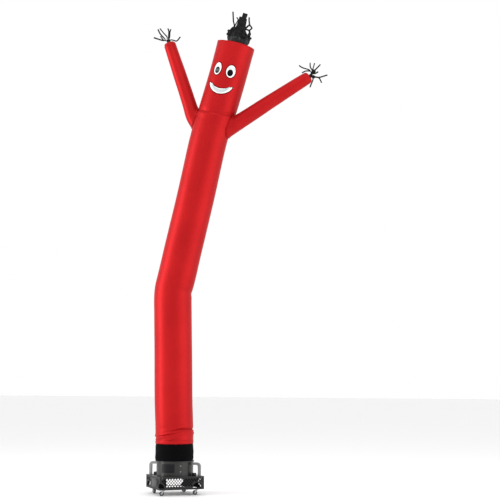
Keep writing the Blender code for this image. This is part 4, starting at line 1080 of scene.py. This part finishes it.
def make_face():
    low, high = PUPIL_Z - PUPIL_HALF_HEIGHT, PUPIL_Z + PUPIL_HALF_HEIGHT
    smile_top = SMILE_HIGH_Z + SMILE_HIGH_RISE
    # the eye white has a grey-cyan band just above the pupils
    white = patch_material("eye_white", ((0.0, (0.84, 0.80, 0.79)), (0.55, (0.84, 0.82, 0.81)),
                                         (0.76, (0.60, 0.68, 0.67)), (0.90, (0.84, 0.78, 0.77))),
                           EYE_Z - EYE_HALF_HEIGHT, EYE_Z + EYE_HALF_HEIGHT)
    dark = patch_material("pupil_dark", ((0.0, (0.0020, 0.0030, 0.0035)),
                                         (1.0, (0.0050, 0.0065, 0.0080))), low, high, 0.05)
    pale = patch_material("pupil_pale", ((0.20, (0.018, 0.024, 0.023)),
                                         (0.52, (0.115, 0.145, 0.135)),
                                         (0.82, (0.020, 0.027, 0.028))), low, high, 0.05)
    smiling = patch_material("smile_white", ((0.0, (0.84, 0.78, 0.76)), (1.0, (0.86, 0.82, 0.80))),
                             SMILE_LOW_Z, smile_top)
    inner = patch_material("smile_inner", ((0.0, (0.54, 0.61, 0.60)), (0.4, (0.43, 0.51, 0.51)),
                                           (1.0, (0.56, 0.62, 0.62))), SMILE_LOW_Z, smile_top)
    white_edge = (EYE_BEAD, 0.45, DARK_PATCH_EDGE, "red_cloth")
    for row, fill in zip(EYES, (pale, dark)):
        columns = oval(row.turn, EYE_Z, row.half, EYE_HALF_HEIGHT, 32)
        eye = make_patch(f"eye_{row.name}_cloth", columns, PATCH_CLEAR, 0.0010, white,
                         white_edge)
        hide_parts(f"eye_{row.name}")
        columns = oval(row.pupil_turn, PUPIL_Z, row.pupil_half, PUPIL_HALF_HEIGHT, 24)
        pupil = make_patch(f"pupil_{row.name}_cloth", columns, PATCH_CLEAR + PATCH + 0.0013, 0.0008,
                           fill, (PUPIL_BEAD, 0.0, BLACK_THREAD, "dark_cloth"))
        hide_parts(f"pupil_{row.name}")
    mouth = make_patch("smile_cloth", smile(56), PATCH_CLEAR, 0.0010, smiling,
                       white_edge)
    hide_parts("smile")
    make_patch("smile_inner_cloth", smile(48, 0.58, -0.004), PATCH_CLEAR + PATCH + 0.0012, 0.0006,
               inner)


# ---- Cut-strip trims


def cuff_ring(cuff, height, angles, fine):
    share = height / cuff.height
    wave = np.sin(cuff.ripples * angles + 1.3 * np.sin(2 * angles))
    small = np.sin(cuff.ripples * 2.7 // 1 * angles + 9 * share + 2.0)
    swell = math.sin(math.pi * min(1.0, share * 1.15)) * (0.7 + 0.5 * np.cos(angles - 2.9) ** 2)
    radius = cuff.radius + cuff.flare * share + cuff.puff * swell
    radius = radius + cuff.ripple * wave * (0.15 + share) + fine * small * (0.3 + 0.7 * share)
    return np.stack([radius * np.cos(angles), radius * np.sin(angles), 0 * angles + height], axis=1)


def strip_line(start, row, turn_back):
    """A strip's middle line: a bow from the cuff to the tip, or a curve through its points."""
    tip = np.array(turn_back @ Vector(row.tip))
    shares = np.linspace(0.0, 1.0, STRIP_STEPS + 1)[:, None]
    if not row.via:
        rise = np.array((0.0, 0.0, 0.25 * np.linalg.norm(tip - start)))
        control = (start + rise + tip) / 2 + np.array(turn_back @ Vector(row.bow))
        return start * (1 - shares) ** 2 + control * 2 * shares * (1 - shares) + tip * shares**2
    points = np.array([start, *(turn_back @ Vector(place) for place in row.via), tip])
    knots, last = curve_knots(points), len(points) - 2
    places = shares[:, 0] * (last + 1)
    return np.array([curve_point(knots, min(int(place), last), place - min(int(place), last))
                     for place in places])


def ribbon(cuff, row, turn_back, seed):
    """One strip as a thin closed band: it turns to the front, twists, cups and crinkles."""
    angle = 2 * math.pi * (row.slot + row.slots / 2) / cuff.sides
    half = math.pi * row.slots / cuff.sides
    root = cuff_ring(cuff, cuff.height * 0.86, np.array([angle - half, angle, angle + half]), 0.0)
    line = strip_line(root[1], row, turn_back)
    along = lengths(line)
    ways = ways_of(line)
    front = np.array(turn_back @ STRIP_FRONT)
    root_width = np.linalg.norm(root[2] - root[0])
    first = (root[2] - root[0]) / root_width
    if first.dot(np.cross(ways[0], front)) < 0:
        front = -front
    twist = 0.6 * min(1.0, 0.012 / row.width)
    points = []
    for centre, way, s in zip(line, ways, along):
        t = s / along[-1]
        turned = min(1.0, s / 0.05)
        across = first * (1 - turned) + np.cross(way, front) * turned
        across = unit(across - way * across.dot(way))
        normal = np.cross(across, way)
        turn = twist * math.sin(2.3 * t + seed) * t
        sideways = across * math.cos(turn) + normal * math.sin(turn)
        facing = normal * math.cos(turn) - across * math.sin(turn)
        width = root_width + (row.width - root_width) * min(1.0, s / 0.06)
        wave = 0.05 * width * math.sin(75.0 * s + seed * 3) * t
        outer, inner = [], []
        for u in np.arange(STRIP_LANES + 1) / STRIP_LANES - 0.5:
            cup = width * 0.12 * (u * u * 4 - 0.4) * math.sin(3.1 * t + seed)
            crinkle = 0.060 * width * noise.noise((u * 5, s * 38, seed * 7)) * min(1.0, 4 * t)
            place = centre + sideways * (width * u) + facing * (cup + crinkle + wave)
            thick = 0.0010 * (1 - 0.5 * (2 * u) ** 4)
            outer.append(place + facing * thick / 2)
            inner.append(place - facing * thick / 2)
        points.append(outer + inner[::-1])
    points = np.array(points)
    return points.reshape(-1, 3), capped_faces(*points.shape[:2]), row.width * along[-1]


def make_trim(name, node, cuff, strips, turn_back, matrix, seed, fine):
    """The cuff and its ribbons, as one piece."""
    angles = around(84)[0]
    heights = np.linspace(0.0, cuff.height, 15)
    outer, inner = (
        np.stack([cuff_ring(cuff._replace(radius=radius), height, angles, fine)
                  for height in heights])
        for radius in (cuff.radius, cuff.radius - CLOTH)
    )
    wall = np.concatenate([outer, inner[::-1]])
    rows, count = wall.shape[:2]
    last = (rows - 1) * count
    faces = grid_faces(rows, count)[0].tolist()
    faces += [[last + k, last + (k + 1) % count, (k + 1) % count, k] for k in range(count)]
    ribbons = [ribbon(cuff, row, turn_back, seed + 1.7 * number)
               for number, row in enumerate(strips)]
    points, all_faces = merged([(wall.reshape(-1, 3), faces)] + [found[:2] for found in ribbons])
    obj = new_object(name, in_frame(points, matrix), all_faces, RIBBON)
    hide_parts(node)
    mesh = obj.data
    # the cuff's faces get the lighter material, with its painted crumple highlights
    mesh.materials.append(CUFF_TONE_AND_SHEEN)
    sewn_faces = int(CUFF_SEWN * (len(heights) - 1)) * count
    for index, face in enumerate(mesh.polygons[: len(faces)]):
        face.material_index = int(index < sewn_faces)
    layer = mesh.uv_layers.new(name="UVMap")
    co = np.array([vertex.co for vertex in mesh.vertices])
    corners = np.array([loop.vertex_index for loop in mesh.loops])
    layer.data.foreach_set("uv", co[corners][:, [0, 2]].astype(np.float32).ravel())
    sewn = stitched_ring(f"{name}_stitches", outer[3], BLACK_THREAD, matrix, 0.0004)
    reach = max(np.linalg.norm(row.tip) for row in strips)
    width = 2 * math.pi * cuff.radius
    area = width * cuff.height + sum(size for _, _, size in ribbons)
    width = max(width, area / reach)


def make_trims():
    rise = CROWN_RISE * (1.0 - (HAIR_CUFF.radius / CROWN_RADIUS) ** 3)
    matrix = HEAD @ Matrix.Translation((HAIR_X, 0.0, HEAD_LENGTH + rise + CLOTH + 3 * GAP))
    make_trim("hair_cloth", "hair", HAIR_CUFF, HAIR_STRIPS, Matrix.Identity(3), matrix, 0.4,
              0.0030)
    for side, arm, strips, seed in (("right", ARM_RIGHT_RINGS, HAND_RIGHT_STRIPS, 4.8),
                                    ("left", ARM_LEFT_RINGS, HAND_LEFT_STRIPS, 4.5)):
        end = Vector((arm[-1].x, 0.0, arm[-1].z))
        way = (end - Vector((arm[-4].x, 0.0, arm[-4].z))).normalized()
        lean = math.atan2(way.x, way.z)
        matrix = DANCER @ Matrix.Translation(end - way * HAND_SEAT) @ Matrix.Rotation(lean, 4, "Y")
        make_trim(f"hand_{side}_cloth", f"hand_streamers_{side}", HAND_CUFF, strips,
                  Matrix.Rotation(-lean, 3, "Y"), matrix, seed, 0.0004)


# ---- Blower


def lathed(profile, sides, matrix):
    """Points and faces of a profile of (radius, height) turned about z, closed at both ends."""
    radius, height = np.array(profile).T[..., None]
    angles = 2 * math.pi * (np.arange(sides) + 0.5) / sides
    points = np.stack([radius * np.cos(angles), radius * np.sin(angles), height + 0 * angles],
                      axis=-1)
    return in_frame(points.reshape(-1, 3), matrix), capped_faces(len(profile), sides)


def bolt(matrix, size):
    """A hex head with a washer under it, standing on z = 0."""
    washer = [(size * 1.25, 0.0), (size * 1.25, size * 0.16), (size * 1.15, size * 0.22)]
    head = [(size, size * 0.20), (size, size * 0.72), (size * 0.88, size * 0.86)]
    return [lathed(washer, 20, matrix), lathed(head, 6, matrix)]


def facing_out(out, origin):
    """A frame in the blower's, at the origin, whose z points along out."""
    turn = out.to_track_quat("Z", "Y").to_matrix().to_4x4()
    return BLOWER @ Matrix.Translation(origin) @ turn


def flat_way(degrees):
    angle = math.radians(degrees)
    return Vector((math.cos(angle), math.sin(angle), 0.0))


def sharp_object(name, parts, material, body="root"):
    points, faces = merged(parts)
    obj = new_object(name, points, faces, material, body=body)
    obj.data.set_sharp_from_angle(angle=math.radians(32.0))
    return obj


def diamond_places(panel):
    """Middles of the staggered diamonds that clear the panel's edges, arches and window."""
    if panel.windowed:
        arches, margin = (ARCH_PLACE, BASE_SIDE), 0.018
    else:
        arches, margin = (BASE_SIDE - ARCH_PLACE, 0.0), 0.022
    start, stop = margin, BASE_SIDE - margin
    low, high = BASE_LOW + 0.016, PANEL_TOP - 0.016
    wide, tall = DIAMOND_HALF

    def in_arch(x, z):
        for middle, half in zip(arches, (ARCH_WIDTH / 2, CORNER_ARCH_HALF)):
            across = (x - middle) / (half + DIAMOND_CLEAR)
            up = (z - BASE_LOW - RIM) / (ARCH_HEIGHT + DIAMOND_CLEAR)
            if abs(across) < 1 and (up < 0 or across * across + up * up < 1):
                return True
        return False

    def blocked(u, v):
        corners = [(u + wide, v), (u - wide, v), (u, v + tall), (u, v - tall)]
        return (
            u - wide < start or u + wide > stop or v - tall < low or v + tall > high
            or panel.windowed and any(WINDOW[0] - DIAMOND_CLEAR < x < WINDOW[1] + DIAMOND_CLEAR
                                      for x, _ in corners)
            or panel.name == INLET_PANEL and u - wide < INLET[2][0] + DIAMOND_CLEAR
            or any(in_arch(x, z) for x, z in corners)
        )

    found = []
    for i in range(int((stop - start) / (DIAMOND_PITCH[0] / 2)) + 1):
        u = start + DIAMOND_PITCH[0] / 2 * i
        heights = [high - tall - DIAMOND_PITCH[1] * (j + 0.5 * (i % 2)) for j in range(-1, 5)]
        found += [(u, v) for v in heights if not blocked(u, v)]
    return found


def prism(outline):
    """A cutter: an outline of (along, up) in the panel's plane, drawn through the sheet."""
    count = len(outline)
    points = [(u, w, v) for w in (-SHEET, 2 * SHEET) for u, v in outline]
    faces = [list(range(count)), list(range(count, 2 * count))[::-1]]
    for i in range(count):
        j = (i + 1) % count
        faces.append([j, i, count + i, count + j])
    return points, faces


def cut_plate(name, source, points, faces):
    """A copy of the source's mesh with the cutter's shape cut out and its edges eased."""
    mesh = new_mesh(f"{name}_holes", points, faces)
    bm = bmesh.new()
    bm.from_mesh(mesh)
    bmesh.ops.recalc_face_normals(bm, faces=bm.faces)
    bm.to_mesh(mesh)
    bm.free()
    cutter = place_object(f"{name}_holes", mesh)
    plate = place_object(f"{name}_plate", source.data.copy())
    plate.modifiers.new("weld", "WELD").merge_threshold = 0.00001
    cut = plate.modifiers.new("holes", "BOOLEAN")
    cut.operation = "DIFFERENCE"
    cut.solver = "EXACT"
    cut.object = cutter
    ease = plate.modifiers.new("ease", "BEVEL")
    ease.width = 0.0005
    ease.segments = 1
    ease.limit_method = "ANGLE"
    bpy.context.view_layer.update()
    graph = bpy.context.evaluated_depsgraph_get()
    made = bpy.data.meshes.new_from_object(plate.evaluated_get(graph))
    plate.modifiers.clear()
    plate.data = made
    bpy.data.objects.remove(cutter)
    return plate


def make_panel(panel):
    """The panel's own solid with its diamonds cut through, and its screws."""
    turn = math.radians(panel.turn)
    corner = flat_way(panel.turn - 135.0) * HALF_DIAGONAL
    matrix = BLOWER @ Matrix.Translation(corner) @ Matrix.Rotation(turn, 4, "Z")
    wide, tall = DIAMOND_HALF
    holes = [prism([(u + wide, v), (u, v + tall), (u - wide, v), (u, v - tall)])
             for u, v in diamond_places(panel)]
    if panel.name == INLET_PANEL:
        holes.append(prism(INLET))
    points, faces = merged(holes)
    plate = cut_plate(panel.name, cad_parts[panel.name], in_frame(points, matrix), faces)
    made = plate.data
    made.materials.clear()
    made.materials.append(PANEL_COAT)
    made.materials.append(INSIDE_PAINTED_SHADE)
    # inward faces get painted shade, near black
    inward = Vector((-math.sin(turn), math.cos(turn), 0.0))
    for face in made.polygons:
        face.material_index = int(face.normal.dot(inward) > 0.5)
    made.shade_smooth()
    made.set_sharp_from_angle(angle=math.radians(30.0))
    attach(plate, "root")
    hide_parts(panel.name)
    places = [(0.030, PANEL_TOP - 0.012), (BASE_SIDE - 0.030, PANEL_TOP - 0.012)]
    if panel.windowed:
        places += [(WINDOW[0] - 0.011, BASE_LOW + 0.055), (WINDOW[0] - 0.011, PANEL_TOP - 0.045)]
    parts = []
    for u, v in places:
        out = matrix @ Matrix.Translation((u, 0.0, v)) @ Matrix.Rotation(math.radians(90), 4, "X")
        parts += bolt(out, PANEL_SCREW)
    sharp_object(f"{panel.name}_screws", parts, STEEL_COAT)


def make_drum_details():
    parts = []
    for azimuth in DRUM_BOLT_TURNS:
        for z in DRUM_BOLT_HEIGHTS:
            out = flat_way(azimuth)
            wall = out * (DRUM_RADIUS + 0.0004) + Vector((0.0, 0.0, z))
            parts += bolt(facing_out(out, wall), DRUM_BOLT)
    sharp_object("drum_bolts", parts, STEEL_COAT)


def wheel_part(profile, sides, matrix):
    """One side's profile of (radius, distance in from the side), mirrored and turned."""
    near = [(radius, WHEEL_WIDTH / 2 - inset) for radius, inset in profile]
    return lathed([(radius, -z) for radius, z in near] + near[::-1], sides, matrix)


def make_caster(caster):
    name = caster.name
    hub = flat_way(caster.corner) * CASTER_PLACE + flat_way(caster.trail) * CASTER_TRAIL
    hub.z = WHEEL_RADIUS
    matrix = facing_out(flat_way(caster.trail + 90.0), hub)
    tread = sharp_object(f"wheel_tread_{name}", [wheel_part(TREAD, 48, matrix)], RUBBER,
                         f"wheel_{name}")
    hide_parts(f"caster_wheel_{name}")
    sharp_object(f"wheel_hub_{name}", [wheel_part(WHEEL_HUB, 40, matrix)], HUB,
                 f"wheel_{name}")
    nuts = []
    for flip in (0.0, math.pi):
        out = matrix @ Matrix.Rotation(flip, 4, "X") @ Matrix.Translation((0.0, 0.0, NUT_PLACE))
        nuts += bolt(out, AXLE_NUT)
    sharp_object(f"axle_nuts_{name}", nuts, ZINC, f"swivel_{name}")


def make_blower():
    for panel in PANELS:
        make_panel(panel)
    make_drum_details()
    looks = {
        "base_deck": GUNMETAL, "drum": GUNMETAL, "handle_left": STEEL_COAT,
        "handle_right": STEEL_COAT, "block_left": DARK_COAT, "block_right": DARK_COAT,
        "baffle_front_left": BAFFLE_COATS[0], "baffle_back_right": BAFFLE_COATS[1],
        "outlet_collar": DARK_COAT, "label_plate": FILM,
    }
    for caster in CASTERS:
        make_caster(caster)
        # the gussets get painted shade, near black
        looks[f"gusset_{caster.name}"] = INSIDE_PAINTED_SHADE
        looks[f"caster_mount_{caster.name}"] = ZINC
        looks[f"caster_fork_{caster.name}"] = ZINC
    for name, material in looks.items():
        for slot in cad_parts[name].material_slots:
            slot.material = material


# ---- Stage


def make_stage():
    corners = [(-60, -60, 0), (60, -60, 0), (60, 60, 0), (-60, 60, 0)]
    floor = place_object("floor", new_mesh("floor", corners, [(0, 1, 2, 3)]))
    n = Nodes("pale_floor")
    floor.data.materials.append(n.surface(
        Roughness=n.range(n.noise(n.coords("Object"), 3.0), 0.55, 0.62),
        Base_Color=(0.90, 0.90, 0.90), Specular_IOR_Level=0.2,
    ))
    world = bpy.context.scene.world or bpy.data.worlds.new("studio")
    bpy.context.scene.world = world
    world.use_nodes = True
    world.node_tree.nodes["Background"].inputs["Color"].default_value = (1.0, 1.0, 1.0, 1.0)
    world.node_tree.nodes["Background"].inputs["Strength"].default_value = 1.0
    bpy.context.scene.view_settings.view_transform = "Standard"


def make_light(name, place, target, size, power):
    data = bpy.data.lights.new(name, "AREA")
    data.shape = "RECTANGLE"
    data.size, data.size_y = size
    data.energy = power
    lamp = place_object(name, data)
    lamp.location = place
    lamp.rotation_euler = (target - place).to_track_quat("-Z", "Y").to_euler()


def make_camera():
    azimuth, distance, height = math.radians(27.0), 15.0, 1.45
    yaw, pitch = math.radians(3.5419), math.radians(5.9817)
    back = Vector((math.sin(azimuth), -math.cos(azimuth), 0.0))
    right = Vector((math.cos(azimuth), math.sin(azimuth), 0.0))
    ahead = (-back * math.cos(yaw) + right * math.sin(yaw)) * math.cos(pitch)
    ahead.z = math.sin(pitch)
    data = bpy.data.cameras.new("camera")
    data.lens = 86.184
    data.sensor_width = 36.0
    data.clip_end = 300.0
    camera = place_object("camera", data)
    camera.location = AXIS + back * distance + Vector((0.0, 0.0, height))
    camera.rotation_euler = ahead.to_track_quat("-Z", "Y").to_euler()
    bpy.context.scene.camera = camera
    middle = AXIS + Vector((0.3, 0.0, 3.5))
    above = middle + back * 5.5 + Vector((0.0, 0.0, 6.5))
    make_light("key", middle - right * 7.5 + back * 0.6, middle, (2.8, 8.5), 470.0)
    make_light("fill", middle + right * 7.0 + back * 3.6, middle, (7.5, 8.0), 320.0)
    make_light("top", above, middle, (5.0, 3.0), 120.0)


make_camera()
make_stage()
make_sleeve()
BODY = make_body()
make_head()
make_arm("arm_right", ARM_RIGHT_RINGS, *BODY, 1.1)
make_arm("arm_left", ARM_LEFT_RINGS, *BODY, 2.6)
make_face()
make_trims()
make_blower()
